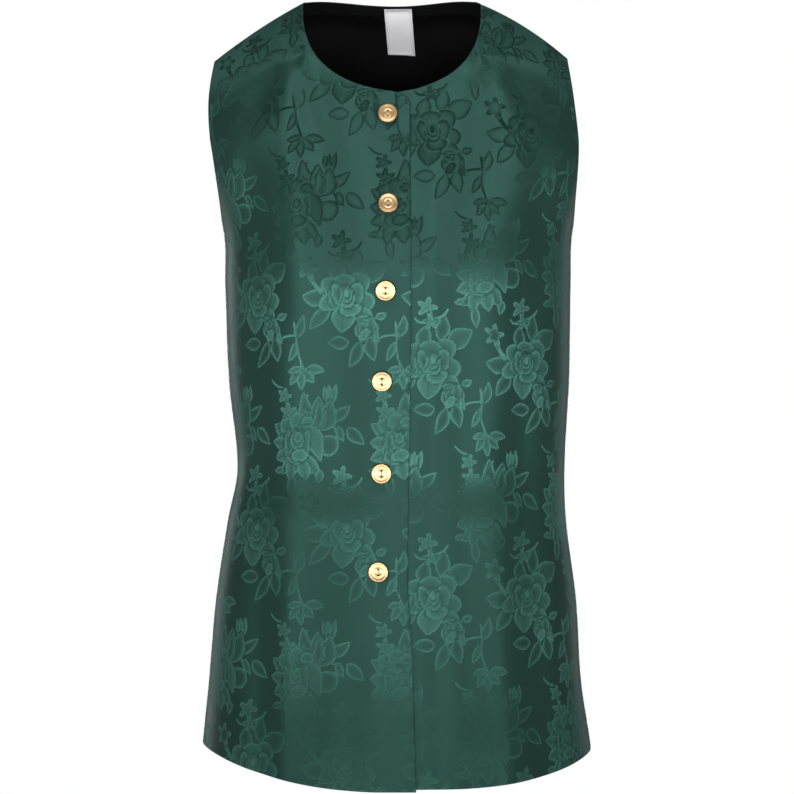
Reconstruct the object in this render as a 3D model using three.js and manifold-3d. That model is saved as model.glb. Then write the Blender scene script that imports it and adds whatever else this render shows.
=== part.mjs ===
// A long sleeveless waistcoat in floral brocade, buttoned down the front, in the hollow form that it keeps
// when worn.
// Millimetres, +Z up. The front faces -Y and the wearer's left is +X.
// The origin is on the centre line, level with the neck ends of the shoulder seams, which carry it.
import * as THREE from "three";
import { mergeVertices } from "three/addons/utils/BufferGeometryUtils.js";
import Module from "manifold-3d";

const wasm = await Module();
wasm.setup();

// Cloth walls and the gaps between pieces
const FRONT_CLOTH = 1.6; // brocade with its interfacing
const BACK_CLOTH = 1.2;
const LINING_CLOTH = 1.0;
const LABEL_CLOTH = 1.0;
const GAP = 0.3; // between pieces that lie on each other or meet at a seam
const LOOSE_GAP = 0.7; // the lining, the lapped front and the buttons lie a little freer

// The shoulder seams, at -X and +X: each runs out from its neck end to its tip at the armhole.
// From rise, its height at the neck end, it falls by slope for each millimetre out, and by bend for
// its square.
// The wearer's right shoulder (at -X) sits a little higher at the neck and falls more steeply.
const SHOULDERS = {
  [-1]: { neck: 91.5, tip: 178, rise: 0.6, slope: 0.532, bend: 0.0017 },
  [1]: { neck: 86.5, tip: 176, rise: -0.5, slope: 0.4, bend: 0.0024 },
};
const SEAM_Y = 6; // the shoulder seam lies this far behind the side seams
const SHOULDER_ROLL = 120; // how far below the seam the cloth has turned down fully
const ROLL_POWER = 0.65; // under 1 it turns down more steeply at first

// Front neckline: a round neck with a small point at the centre front
const NECK_DEPTH = 97;
const NECK_POINT = 8; // part of the depth that is the point
const NECK_ROUND = 2.5; // 2 is an ellipse; more is squarer
const NECK_POINT_POWER = 1.5;
const NECK_RISE_POWER = 4; // the neck edges bend to the height of the shoulder's neck end close to it
const LAP_SLOPE = 0.42; // each front's neck edge runs on past the centre at this slope
const CORNER_DROP = 7; // how far the rounded top corner of a front edge drops
const CORNER_SHARE = 1 / 3; // the corner takes this part of its drop along the neck edge

// Back neckline
const BACK_NECK_RISE = 2.8; // height of its middle
const BACK_NECK_SWELL = 2.7; // it rises by this much more halfway to each shoulder

// Hem, at -X and +X: the height of the side seam's end, how much lower the centre front and back are,
// and how the front's dip comes in (1 evenly; more keeps it low further out)
const HEMS = {
  [-1]: { side: -738, front: 35, back: 14, round: 1 },
  [1]: { side: -744.5, front: 26, back: 7.5, round: 1.6 },
};

// Armhole, from the armpit up to the shoulder seam
const ARMPIT = -225;
const CHEST_RISE = 62; // the chest rows end this far up the armhole
const EDGE_CHEST_RISE = 30; // and start this far above the armpit at the front edge
const ARMHOLE_SPREAD = 90; // over this height the rows change from the section's curve to straight ones

const SECTION_ROUND = 2.2; // 2 is an ellipse; more is flatter in front and behind

// The form at several heights: half width at the sides, depth of the front and back,
// and how far the sides sway to +X
const SECTIONS = [
  { height: -790, half: 198.5, front: 137, back: 125, sway: 2 },
  { height: -738, half: 193.5, front: 130, back: 122, sway: 1.5 },
  { height: -677, half: 186, front: 121.5, back: 121, sway: 0 },
  { height: -597, half: 180, front: 115.5, back: 115, sway: 1 },
  { height: -517, half: 169, front: 112, back: 100, sway: 2 },
  { height: -465, half: 163.5, front: 109, back: 92, sway: 6 },
  { height: -377, half: 170, front: 119, back: 92, sway: 4 },
  { height: -285, half: 172.5, front: 130, back: 99, sway: 3 },
  { height: ARMPIT, half: 175, front: 126, back: 104, sway: 3 },
  { height: -160, half: 196, front: 112, back: 105, sway: 1 },
  { height: -97, half: 206, front: 96, back: 101, sway: -4 },
  { height: 0, half: 206, front: 82, back: 97, sway: -3 },
  { height: 10, half: 206, front: 82, back: 97, sway: -3 },
];

// The armhole's edge, seen from the front
const ARMHOLE = [
  { height: ARMPIT, across: 175 },
  { height: -200, across: 176.5 },
  { height: -160, across: 180.5 },
  { height: -137, across: 182.5 },
  { height: -97, across: 182 },
  { height: -58, across: 178 },
];

// How far each front reaches past the centre line: the top front laps over the under one
const TOP_LAP = [
  { height: -790, across: 21 },
  { height: -725, across: 19.2 },
  { height: -650, across: 17 },
  { height: -580, across: 12.8 },
  { height: -470, across: 13.5 },
  { height: -330, across: 15.5 },
  { height: -100, across: 14.5 },
];
const UNDER_LAP = 31;

// The under front lies back under the top one, and comes forward between these distances past its edge
const TUCK_START = 3;
const TUCK_END = 26;

// Soft folds: a line from its top to its end (x from the centre, +X is the wearer's left), its half width
// and its depth inwards. A negative depth is a ridge.
const FRONT_FOLDS = [
  { topX: -141, topZ: -165, endX: -129, endZ: -800, width: 17, depth: 5.5 },
  { topX: 147, topZ: -205, endX: 124, endZ: -430, width: 18, depth: 5.0 },
  { topX: 124, topZ: -430, endX: 152, endZ: -800, width: 19, depth: 5.5 },
  { topX: -104, topZ: -60, endX: -98, endZ: -270, width: 17, depth: -3.0 },
  { topX: -82, topZ: -62, endX: -62, endZ: -190, width: 15, depth: 3.2 },
  { topX: 90, topZ: -62, endX: 88, endZ: -128, width: 11, depth: 2.6 },
  { topX: 160, topZ: -160, endX: 112, endZ: -330, width: 20, depth: 2.6 },
  { topX: -75, topZ: -330, endX: -60, endZ: -560, width: 26, depth: 2.4 },
  { topX: 60, topZ: -420, endX: 72, endZ: -800, width: 26, depth: -2.4 },
];
const BACK_FOLDS = [
  { topX: -128, topZ: -190, endX: -118, endZ: -800, width: 18, depth: 5.0 },
  { topX: 132, topZ: -190, endX: 120, endZ: -800, width: 18, depth: 5.0 },
  { topX: -34, topZ: -360, endX: -62, endZ: -800, width: 24, depth: 3.6 },
  { topX: 30, topZ: -350, endX: 50, endZ: -800, width: 24, depth: 3.6 },
  { topX: -96, topZ: -60, endX: -70, endZ: -250, width: 17, depth: 2.4 },
  { topX: 98, topZ: -60, endX: 74, endZ: -250, width: 17, depth: 2.4 },
];
const FOLD_FADE = 70; // a fold fades in and out over this height

// Buttons, from the neck down, on the top front
const BUTTONS = [
  { height: -120, across: -7 },
  { height: -208, across: -6.5 },
  { height: -292, across: -9 },
  { height: -379, across: -12.5 },
  { height: -468, across: -13 },
  { height: -563, across: -16 },
];
const BUTTON_RADIUS = 10;
const BUTTON_HOLE_RADIUS = 0.9;
const BUTTON_HOLE_SPACING = 4.8;
const BUTTON_SEAT_REACH = 6; // the slope of the cloth under a button is taken over this distance each way
const BUTTON_PROFILE = [
  { radius: 0, height: 0 },
  { radius: 8.6, height: 0 },
  { radius: BUTTON_RADIUS, height: 1.0 },
  { radius: BUTTON_RADIUS, height: 2.1 },
  { radius: 9.3, height: 2.8 }, // top of the rolled rim
  { radius: 8.3, height: 2.3 },
  { radius: 4.9, height: 2.0 },
  { radius: 4.3, height: 2.5 }, // top of the raised ring
  { radius: 3.7, height: 2.0 },
  { radius: 0, height: 1.8 },
];

// Care label, hanging from the back neck seam
const LABEL_WIDTH = 28.5;
const LABEL_LENGTH = 44.5;
const LABEL_CENTRE = 3;
const LABEL_LEAN = 4; // its lower end lies this far to +X
const LABEL_DROP = 0.4; // below the middle of the back neck edge
const LABEL_CURL = 2.5; // its lower end stands off the lining

// Grid steps of the panels: rows below the armpit, round its curve, and up the strap
const FRONT_COLUMNS = 19;
const LOWER_ROWS = 20;
const CHEST_ROWS = 5;
const STRAP_ROWS = 9;
const BACK_COLUMNS = 30;
const BACK_UPPER_ROWS = 12;
const NECK_COLUMN = 7; // the back's columns on each shoulder seam
const LABEL_COLUMNS = 4;
const LABEL_ROWS = 6;
const BUTTON_SEGMENTS = 24;
const HOLE_SEGMENTS = 8;
const RIM_STEPS = 12;

// How the steps bunch: over 1 they are closer at their start, under 1 at their end
const CHEST_BUNCH = 1.7;
const STRAP_BUNCH = 1.5;
const NECK_BUNCH = 0.9;
const BACK_SPREAD = 0.7;

const BROCADE = { color: 0x3a6357, roughness: 0.42, metalness: 0 };
const LINING = { color: 0x0c0a0b, roughness: 0.6, metalness: 0 };
const LABEL = { color: 0xe9e8ec, roughness: 0.5, metalness: 0 };
const GILT = { color: 0xe6bd74, roughness: 0.28, metalness: 1 };

const { clamp, lerp, smoothstep } = THREE.MathUtils;

// A smooth curve through a table's rows: the value of one column at a height.
function at(table, column, height) {
  const rows = [...table].sort((p, q) => p.height - q.height);
  const last = rows.length - 1;
  const z = clamp(height, rows[0].height, rows[last].height);
  let k = rows.findIndex((row) => row.height >= z);
  k = clamp(k, 1, last);
  const slope = (i) => {
    const low = rows[Math.max(i - 1, 0)];
    const high = rows[Math.min(i + 1, last)];
    return (high[column] - low[column]) / (high.height - low.height);
  };
  const span = rows[k].height - rows[k - 1].height;
  const t = (z - rows[k - 1].height) / span;
  const start = rows[k - 1][column];
  const end = rows[k][column];
  const a = slope(k - 1) * span;
  const b = slope(k) * span;
  return start + t * (a + t * (3 * (end - start) - 2 * a - b + t * (a + b - 2 * (end - start))));
}

// A section's quarter curve: across and depth shares at an angle round from the centre line.
const acrossShare = (angle) => Math.sign(angle) * Math.abs(Math.sin(angle)) ** (2 / SECTION_ROUND);
const depthShare = (angle) => Math.max(Math.cos(angle), 0) ** (2 / SECTION_ROUND);

function angleAt(across, height) {
  const share = clamp(Math.abs(across) / at(SECTIONS, "half", height), 0, 1);
  return Math.sign(across) * Math.asin(share ** (SECTION_ROUND / 2));
}

// Height of the shoulder seam's line. Inwards of the neck end it carries on as a smooth arch,
// and the arches of both sides meet at the centre line.
const archTop = ({ neck, rise, slope }) => rise + (neck * slope) / 2;
const ARCH_TOP = (archTop(SHOULDERS[-1]) + archTop(SHOULDERS[1])) / 2;
function shoulderLine(side, across) {
  const shoulder = SHOULDERS[side];
  const past = across - shoulder.neck;
  if (past > 0) return shoulder.rise - shoulder.slope * past - shoulder.bend * past ** 2;
  const inward = 1 - (across / shoulder.neck) ** 2;
  const own = shoulder.rise + (shoulder.neck * shoulder.slope * inward) / 2;
  return own + (ARCH_TOP - archTop(shoulder)) * inward ** 2;
}

// How far the shoulder seam bows up from the straight line between its two ends.
function shoulderBow(side, across) {
  const { neck, tip, bend } = SHOULDERS[side];
  return bend * Math.max(across - neck, 0) * Math.max(tip - across, 0);
}

// How far the cloth has turned down from the shoulder seam: 0 on the seam, 1 on the chest.
function turnedDown(side, across, height) {
  const below = clamp((shoulderLine(side, across) - height) / SHOULDER_ROLL, 0, 1);
  return (1 - (1 - below) ** 2) ** ROLL_POWER;
}

function foldDepth(folds, x, z) {
  let sum = 0;
  for (const fold of folds) {
    const share = (fold.topZ - z) / (fold.topZ - fold.endZ);
    const line = lerp(fold.topX, fold.endX, share);
    const inside = smoothstep(z, fold.endZ - FOLD_FADE, fold.endZ + FOLD_FADE / 2);
    const below = 1 - smoothstep(z, fold.topZ - FOLD_FADE / 2, fold.topZ + FOLD_FADE / 2);
    sum += fold.depth * inside * below * Math.exp(-(((x - line) / fold.width) ** 2));
  }
  return sum;
}

// A point of the outer surface. face is -1 in front and 1 behind; side is -1 or 1 for -X or +X.
function formPoint(face, side, angle, height) {
  const half = at(SECTIONS, "half", height);
  const deep = at(SECTIONS, face < 0 ? "front" : "back", height);
  const across = half * acrossShare(angle);
  const sway = at(SECTIONS, "sway", height) * (across / half) ** 2;
  const seam = SEAM_Y * smoothstep(height, ARMPIT, 0);
  const x = side * across + sway;
  const fold = foldDepth(face < 0 ? FRONT_FOLDS : BACK_FOLDS, x, height);
  const depth = (deep - fold) * depthShare(angle) * turnedDown(side, across, height);
  return new THREE.Vector3(x, seam + face * depth, height);
}

// Normals of a grid of points, by second-order differences, facing out of the form.
function gridNormals(points, outward) {
  const rows = points.length;
  const columns = points[0].length;
  const atEnd = (first, second, third, way) =>
    first.clone().multiplyScalar(-3).addScaledVector(second, 4).sub(third).multiplyScalar(way);
  const slope = (get, k, count) => {
    if (k === 0) return atEnd(get(0), get(1), get(2), 1);
    if (k === count - 1) return atEnd(get(k), get(k - 1), get(k - 2), -1);
    return get(k + 1).clone().sub(get(k - 1));
  };
  return points.map((row, j) =>
    row.map((_, i) => {
      const along = slope((k) => points[j][k], i, columns);
      const up = slope((k) => points[k][i], j, rows);
      return along.cross(up).normalize().multiplyScalar(outward);
    }),
  );
}

// On a side or shoulder seam a wall's end face stands square to the seam, so two pieces meet face to face.
function squareAtSeams(normals, onSeam) {
  normals.forEach((row, j) => row.forEach((normal, i) => onSeam(j, i) && normal.setY(0).normalize()));
  return normals;
}

const moved = (points, normals, distance) =>
  points.map((row, j) => row.map((p, i) => p.clone().addScaledVector(normals[j][i], distance(j, i))));

// A closed wall between an outer and an inner grid. flip is set where the columns run from +X to -X.
function wall(outer, inner, flip) {
  const rows = outer.length;
  const columns = outer[0].length;
  const positions = [...outer.flat(), ...inner.flat()].flatMap((p) => [p.x, p.y, p.z]);
  const index = [];
  const out = (j, i) => j * columns + i;
  const inn = (j, i) => rows * columns + j * columns + i;
  const quad = (a, b, c, d) => index.push(...(flip ? [a, c, b, a, d, c] : [a, b, c, a, c, d]));
  for (let j = 0; j < rows - 1; j++)
    for (let i = 0; i < columns - 1; i++) {
      quad(out(j, i), out(j, i + 1), out(j + 1, i + 1), out(j + 1, i));
      quad(inn(j, i), inn(j + 1, i), inn(j + 1, i + 1), inn(j, i + 1));
    }
  for (let i = 0; i < columns - 1; i++) {
    quad(out(0, i), inn(0, i), inn(0, i + 1), out(0, i + 1));
    quad(out(rows - 1, i), out(rows - 1, i + 1), inn(rows - 1, i + 1), inn(rows - 1, i));
  }
  for (let j = 0; j < rows - 1; j++) {
    quad(out(j, 0), out(j + 1, 0), inn(j + 1, 0), inn(j, 0));
    quad(out(j, columns - 1), inn(j, columns - 1), inn(j + 1, columns - 1), out(j + 1, columns - 1));
  }
  const geometry = new THREE.BufferGeometry();
  geometry.setAttribute("position", new THREE.Float32BufferAttribute(positions, 3));
  geometry.setIndex(index);
  geometry.computeVertexNormals();
  return geometry;
}

function mesh(name, geometry, finish) {
  const made = new THREE.Mesh(geometry, new THREE.MeshStandardMaterial(finish));
  made.name = name;
  return made;
}

// Height of the front neck edge at a distance from the centre line.
function neckHeight(side, across) {
  if (across <= 0) return -NECK_DEPTH + LAP_SLOPE * across;
  const { neck, rise } = SHOULDERS[side];
  const share = clamp(across / neck, 0, 1);
  const round = (1 - share ** NECK_ROUND) ** (1 / NECK_ROUND);
  const point = NECK_POINT * (1 - share) ** NECK_POINT_POWER;
  return rise * share ** NECK_RISE_POWER - (NECK_DEPTH - NECK_POINT) * round - point;
}

// The armhole's edge. Near the shoulder it leans in or out to meet that side's tip.
function armholeAcross(side, height) {
  const tip = SHOULDERS[side].tip;
  const lean = smoothstep(height, ARMPIT + CHEST_RISE, shoulderLine(side, tip));
  return at(ARMHOLE, "across", height) + lean * (tip - ARMHOLE[ARMHOLE.length - 1].across);
}

// The neck edge of a front, from its front edge up to the shoulder: a point at a share of the way.
function neckEdge(side, lap, share) {
  const { neck, rise } = SHOULDERS[side];
  if (share >= 1) return { across: neck, height: rise };
  const turn = share * (Math.PI / 2);
  const across = -lap + (neck + lap) * Math.sin(turn) ** NECK_BUNCH;
  return { across, height: neckHeight(side, across) };
}

// A front, cut as rows from the hem to the shoulder seam.
// Each row runs from the front edge or neck to the side or armhole.
function frontRows(side, lapAt) {
  const topLap = lapAt(-NECK_DEPTH);
  const cornerHeight = neckHeight(side, -topLap) - CORNER_DROP;
  const shoulderTipHeight = shoulderLine(side, SHOULDERS[side].tip);
  const hem = HEMS[side];
  const chestInner = ARMPIT + EDGE_CHEST_RISE;
  const strapOuter = ARMPIT + CHEST_RISE;
  const edge = [];
  for (let j = 0; j <= LOWER_ROWS; j++) {
    const t = j / LOWER_ROWS;
    const inner = lerp(hem.side - hem.front, chestInner, t);
    const outer = lerp(hem.side, ARMPIT, t);
    edge.push({ inner: { across: -lapAt(inner), height: inner }, outer, round: lerp(hem.round, 1, t) });
  }
  for (let j = 1; j <= CHEST_ROWS; j++) {
    const t = j / CHEST_ROWS;
    const inner = lerp(chestInner, cornerHeight, t);
    const outer = lerp(ARMPIT, strapOuter, t ** CHEST_BUNCH);
    edge.push({ inner: { across: -lapAt(inner), height: inner }, outer, round: 1 });
  }
  for (let j = 1; j <= STRAP_ROWS; j++) {
    const t = j / STRAP_ROWS;
    const rise = 1 - (1 - t) ** STRAP_BUNCH;
    const inner = neckEdge(side, topLap - CORNER_DROP * CORNER_SHARE, (j - 0.5) / (STRAP_ROWS - 0.5));
    edge.push({ inner, outer: lerp(strapOuter, shoulderTipHeight, rise), round: 1, bow: t });
  }
  return edge.map(({ inner, outer, round, bow = 0 }, j) => {
    const onShoulder = j === edge.length - 1;
    const belowArm = outer <= ARMPIT;
    const outerAcross = belowArm ? at(SECTIONS, "half", outer) : armholeAcross(side, outer);
    const from = angleAt(inner.across, inner.height);
    const seamShare = GAP / 2 / at(SECTIONS, "front", outer);
    const to = belowArm ? Math.PI / 2 - seamShare : angleAt(outerAcross, outer);
    const towardsLine = smoothstep(outer, ARMPIT, ARMPIT + ARMHOLE_SPREAD);
    const square = (angle) => Math.sin(angle) ** 2;
    const shareBy = (measure, angle) => (measure(angle) - measure(from)) / (measure(to) - measure(from));
    const row = [];
    for (let i = 0; i <= FRONT_COLUMNS; i++) {
      const angle = lerp(from, to, i / FRONT_COLUMNS);
      const share = lerp(shareBy(square, angle), shareBy(acrossShare, angle), towardsLine);
      const straight = lerp(inner.height, outer, Math.max(share, 0) ** round);
      const across = at(SECTIONS, "half", straight) * acrossShare(angle);
      const height = onShoulder ? shoulderLine(side, across) : straight + bow * shoulderBow(side, across);
      const p = formPoint(-1, side, angleAt(across, height), height);
      if (onShoulder) p.y -= GAP / 2;
      row.push(p);
    }
    return row;
  });
}

function onFrontSeam(j, i) {
  const onSideSeam = i === FRONT_COLUMNS && j <= LOWER_ROWS;
  const onShoulderSeam = j === LOWER_ROWS + CHEST_ROWS + STRAP_ROWS;
  return onSideSeam || onShoulderSeam;
}

// The top front: the wearer's right, at -X. Its grid columns run from the front edge out to -X.
function topFront() {
  const outer = frontRows(-1, (height) => at(TOP_LAP, "across", height));
  const normals = squareAtSeams(gridNormals(outer, -1), onFrontSeam);
  return wall(outer, moved(outer, normals, () => -FRONT_CLOTH), true);
}

// The under front: the wearer's left, at +X. Under the top front it lies back by a wall and a gap.
function underFront() {
  const form = frontRows(1, () => UNDER_LAP);
  const normals = squareAtSeams(gridNormals(form, 1), onFrontSeam);
  const tuck = (j, i) => {
    const p = form[j][i];
    const edge = at(TOP_LAP, "across", p.z);
    return -(FRONT_CLOTH + LOOSE_GAP) * (1 - smoothstep(p.x, edge + TUCK_START, edge + TUCK_END));
  };
  const outer = moved(form, normals, tuck);
  const inner = moved(form, normals, (j, i) => tuck(j, i) - FRONT_CLOTH);
  return wall(outer, inner, false);
}

// The back, in rows across from the -X side seam to the +X one.
function backRows() {
  const seamShare = GAP / 2 / at(SECTIONS, "back", ARMPIT);
  const sideAngle = Math.PI / 2 - seamShare;
  const sideOf = (i) => (i < BACK_COLUMNS / 2 ? -1 : 1);
  const topAcross = (i) => {
    const { neck, tip } = SHOULDERS[sideOf(i)];
    const fromSide = Math.min(i, BACK_COLUMNS - i);
    if (fromSide <= NECK_COLUMN) return lerp(tip, neck, fromSide / NECK_COLUMN);
    const round = (fromSide - NECK_COLUMN) / (BACK_COLUMNS / 2 - NECK_COLUMN);
    return neck * Math.cos((round * Math.PI) / 2) ** NECK_BUNCH;
  };
  const topHeight = (i) => {
    const { neck, rise } = SHOULDERS[sideOf(i)];
    const across = topAcross(i);
    const fromSide = Math.min(i, BACK_COLUMNS - i);
    if (fromSide <= NECK_COLUMN) return shoulderLine(sideOf(i), across);
    const out = (across / neck) ** 2;
    const swell = 4 * BACK_NECK_SWELL * out * (1 - out);
    return rise * out ** (NECK_RISE_POWER / 2) + BACK_NECK_RISE * Math.sqrt(1 - out) + swell;
  };
  const build = (i, angle, height) => formPoint(1, sideOf(i), Math.abs(angle), height);
  const lowAngle = (i) => lerp(-sideAngle, sideAngle, i / BACK_COLUMNS);
  const rows = [];
  for (let j = 0; j <= LOWER_ROWS; j++) {
    const t = j / LOWER_ROWS;
    const row = [];
    for (let i = 0; i <= BACK_COLUMNS; i++) {
      const hem = HEMS[sideOf(i)];
      const dip = hem.back * (1 - t) * Math.cos(lowAngle(i)) ** 2;
      row.push(build(i, lowAngle(i), lerp(hem.side, ARMPIT, t) - dip));
    }
    rows.push(row);
  }
  for (let j = 1; j <= BACK_UPPER_ROWS; j++) {
    const left = 1 - smoothstep(j / BACK_UPPER_ROWS, 0, 1);
    const row = [];
    for (let i = 0; i <= BACK_COLUMNS; i++) {
      const side = sideOf(i);
      const height = lerp(topHeight(i), ARMPIT, left);
      const edgeHeight = lerp(shoulderLine(side, SHOULDERS[side].tip), ARMPIT, left);
      const edgeAngle = angleAt(armholeAcross(side, edgeHeight), edgeHeight);
      const topAngle = angleAt(topAcross(i), topHeight(i));
      const outward = Math.abs(2 * (i / BACK_COLUMNS) - 1);
      const spread = lerp(topAngle, outward * edgeAngle, left ** BACK_SPREAD);
      const onEdge = i === 0 || i === BACK_COLUMNS;
      const p = build(i, onEdge ? edgeAngle : spread, height);
      const onShoulder = j === BACK_UPPER_ROWS && Math.min(i, BACK_COLUMNS - i) <= NECK_COLUMN;
      if (onShoulder) p.y += GAP / 2;
      row.push(p);
    }
    rows.push(row);
  }
  return rows;
}

function onBackSeam(j, i) {
  const fromSide = Math.min(i, BACK_COLUMNS - i);
  const onSideSeam = fromSide === 0 && j <= LOWER_ROWS;
  const onShoulderSeam = fromSide <= NECK_COLUMN && j === LOWER_ROWS + BACK_UPPER_ROWS;
  return onSideSeam || onShoulderSeam;
}

function back() {
  const outer = backRows();
  const normals = squareAtSeams(gridNormals(outer, -1), onBackSeam);
  return wall(outer, moved(outer, normals, () => -BACK_CLOTH), true);
}

// The lining lies inside the back. It leaves out the outermost row and column of the back's grid all round.
function lining() {
  const form = backRows();
  const normals = squareAtSeams(gridNormals(form, -1), onBackSeam);
  const lay = (depth) => moved(form, normals, () => -depth).slice(1, -1).map((row) => row.slice(1, -1));
  const lies = BACK_CLOTH + LOOSE_GAP;
  return wall(lay(lies), lay(lies + LINING_CLOTH), true);
}

// The care label: a folded ribbon that hangs from the back neck, inside the lining.
function careLabel() {
  const form = [];
  for (let j = 0; j <= LABEL_ROWS; j++) {
    const down = 1 - j / LABEL_ROWS;
    const row = [];
    for (let i = 0; i <= LABEL_COLUMNS; i++) {
      const x = LABEL_CENTRE + LABEL_LEAN * down + LABEL_WIDTH * (i / LABEL_COLUMNS - 0.5);
      const height = BACK_NECK_RISE - LABEL_DROP - LABEL_LENGTH * down;
      row.push(formPoint(1, x < 0 ? -1 : 1, Math.abs(angleAt(x, height)), height));
    }
    form.push(row);
  }
  const normals = gridNormals(form, -1);
  const onLining = BACK_CLOTH + LOOSE_GAP + LINING_CLOTH + LOOSE_GAP;
  const lay = (j) => onLining + LABEL_CURL * (1 - j / LABEL_ROWS) ** 2;
  const outer = moved(form, normals, (j) => -lay(j));
  return wall(outer, moved(form, normals, (j) => -lay(j) - LABEL_CLOTH), true);
}

function solidOf(geometry) {
  geometry.deleteAttribute("normal");
  geometry.deleteAttribute("uv");
  const merged = mergeVertices(geometry, 1e-4);
  return new wasm.Manifold(
    new wasm.Mesh({
      numProp: 3,
      vertProperties: merged.attributes.position.array,
      triVerts: new Uint32Array(merged.index.array),
    }),
  );
}

// A gilt two-hole button: a dished disc with a rolled rim and a raised ring round its holes.
// Its back is at z = 0.
function buttonGeometry() {
  const profile = BUTTON_PROFILE.map(({ radius, height }) => new THREE.Vector2(radius, height));
  const disc = new THREE.LatheGeometry(profile, BUTTON_SEGMENTS).rotateX(Math.PI / 2);
  const drill = [BUTTON_HOLE_RADIUS, BUTTON_HOLE_RADIUS, BUTTON_RADIUS, HOLE_SEGMENTS];
  let solid = solidOf(disc);
  for (const way of [-1, 1]) {
    const hole = new THREE.CylinderGeometry(...drill);
    hole.rotateX(Math.PI / 2).translate(0, (way * BUTTON_HOLE_SPACING) / 2, 0);
    solid = solid.subtract(solidOf(hole));
  }
  const { vertProperties, triVerts } = solid.getMesh();
  const geometry = new THREE.BufferGeometry();
  geometry.setAttribute("position", new THREE.BufferAttribute(new Float32Array(vertProperties), 3));
  geometry.setIndex([...triVerts]);
  geometry.computeVertexNormals();
  return geometry;
}

// A button rests on the top front, a gap off its highest point under the disc.
function placeButton(button, { height, across }) {
  const seat = (x, z) => formPoint(-1, x > 0 ? 1 : -1, Math.abs(angleAt(x, z)), z);
  const reach = BUTTON_SEAT_REACH;
  const along = seat(across + reach, height).sub(seat(across - reach, height));
  const up = seat(across, height + reach).sub(seat(across, height - reach));
  const normal = along.clone().cross(up).normalize();
  const tilt = new THREE.Matrix4().makeBasis(up.clone().cross(normal).normalize(), up.normalize(), normal);
  const centre = seat(across, height);
  let lift = LOOSE_GAP;
  for (let k = 0; k < RIM_STEPS; k++) {
    const turn = (k / RIM_STEPS) * 2 * Math.PI;
    const rim = seat(across + BUTTON_RADIUS * Math.cos(turn), height + BUTTON_RADIUS * Math.sin(turn));
    lift = Math.max(lift, LOOSE_GAP + rim.sub(centre).dot(normal));
  }
  button.setRotationFromMatrix(tilt);
  button.position.copy(centre).addScaledVector(normal, lift);
}

const waistcoat = new THREE.Group();
waistcoat.name = "waistcoat";
waistcoat.add(mesh("front_right", topFront(), BROCADE));
waistcoat.add(mesh("front_left", underFront(), BROCADE));
waistcoat.add(mesh("back", back(), BROCADE));
waistcoat.add(mesh("back_lining", lining(), LINING));
waistcoat.add(mesh("care_label", careLabel(), LABEL));
BUTTONS.forEach((place, k) => {
  const button = mesh(`button_${k + 1}`, buttonGeometry(), GILT);
  placeButton(button, place);
  waistcoat.add(button);
});

export default waistcoat;
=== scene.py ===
import math

import bpy
import numpy as np
from mathutils import Matrix, Vector


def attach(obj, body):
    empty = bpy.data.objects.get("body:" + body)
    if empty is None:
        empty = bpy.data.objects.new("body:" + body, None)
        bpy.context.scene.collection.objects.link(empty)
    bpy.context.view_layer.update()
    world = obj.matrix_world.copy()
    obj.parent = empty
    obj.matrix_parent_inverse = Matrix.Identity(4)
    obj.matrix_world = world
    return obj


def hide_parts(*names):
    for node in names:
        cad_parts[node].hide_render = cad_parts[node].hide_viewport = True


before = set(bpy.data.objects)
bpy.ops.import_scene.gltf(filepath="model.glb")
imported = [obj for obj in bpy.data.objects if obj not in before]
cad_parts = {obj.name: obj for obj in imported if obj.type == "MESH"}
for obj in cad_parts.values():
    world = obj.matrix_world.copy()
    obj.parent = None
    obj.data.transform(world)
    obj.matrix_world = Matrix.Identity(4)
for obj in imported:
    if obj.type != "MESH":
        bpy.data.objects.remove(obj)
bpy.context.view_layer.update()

# Right front: the half of the waistcoat on the wearer's right, which laps over the left one.
# Floral brocade on thin interfacing, cut in one piece from shoulder to hem and shaped to the bust and waist.
# Its edges are turned in, and inside it is faced with the black lining cloth.
FRONT_CLOTH = 0.0016
SEAM_GAP = 0.00002  # between pieces that are sewn together
LOOSE_GAP = 0.0007  # between cloths that only lie on each other
EDGE_ROUND = 0.0009  # radius of a turned edge

# The shoulder seams at -X and +X: neck end and tip across, height of the neck end, and how far the line
# falls per metre out and per square metre out.
SHOULDERS = {
    -1: dict(neck=0.0915, tip=0.178, rise=0.0006, slope=0.532, bend=1.7),
    1: dict(neck=0.0865, tip=0.176, rise=-0.0005, slope=0.400, bend=2.4),
}
# The hem at -X and +X: height of the side seam's end, how far the centre front and the back dip below it,
# and how round the dip is.
HEMS = {
    -1: dict(side=-0.738, front=0.035, back=0.014, round=1.0),
    1: dict(side=-0.7445, front=0.026, back=0.0075, round=1.6),
}
SEAM_Y = 0.006  # how far behind the origin the shoulder seam lies
SHOULDER_ROLL = 0.120  # how far below the seam the cloth has fully turned down
ROLL_POWER = 0.65  # under 1 it turns down more steeply at first
NECK_DEPTH = 0.097
NECK_ROUND = 2.5
NECK_POINT = 0.008  # the last dip of the neck edge by the centre line
NECK_POINT_POWER = 1.5
NECK_RISE_POWER = 4
LAP_SLOPE = 0.42
CORNER_ROUND = 0.007  # of the front edge's top corner
CORNER_SHARE = 0.06  # the share of the rows by the neck that round it
ARMPIT = -0.225
CHEST_RISE = 0.062  # from the armpit to the row where the strap begins
EDGE_CHEST_RISE = 0.030  # and the same at the front edge
ARMHOLE_SPREAD = 0.090
SECTION_ROUND = 2.2  # 2 would make each section an ellipse
CHEST_BUNCH = 1.7  # over 1, the rows' outer ends are closer together just above the armpit
STRAP_BUNCH = 1.4  # over 1, they are closer together by the shoulder's tip
NECK_BUNCH = 0.9  # under 1, the points round the neck are closer together by the shoulder seams


def columns(names, rows):
    """A short table, as one array for each named column with the lowest row first."""
    return dict(zip(names.split(), np.array(sorted(rows), float).T))


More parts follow.
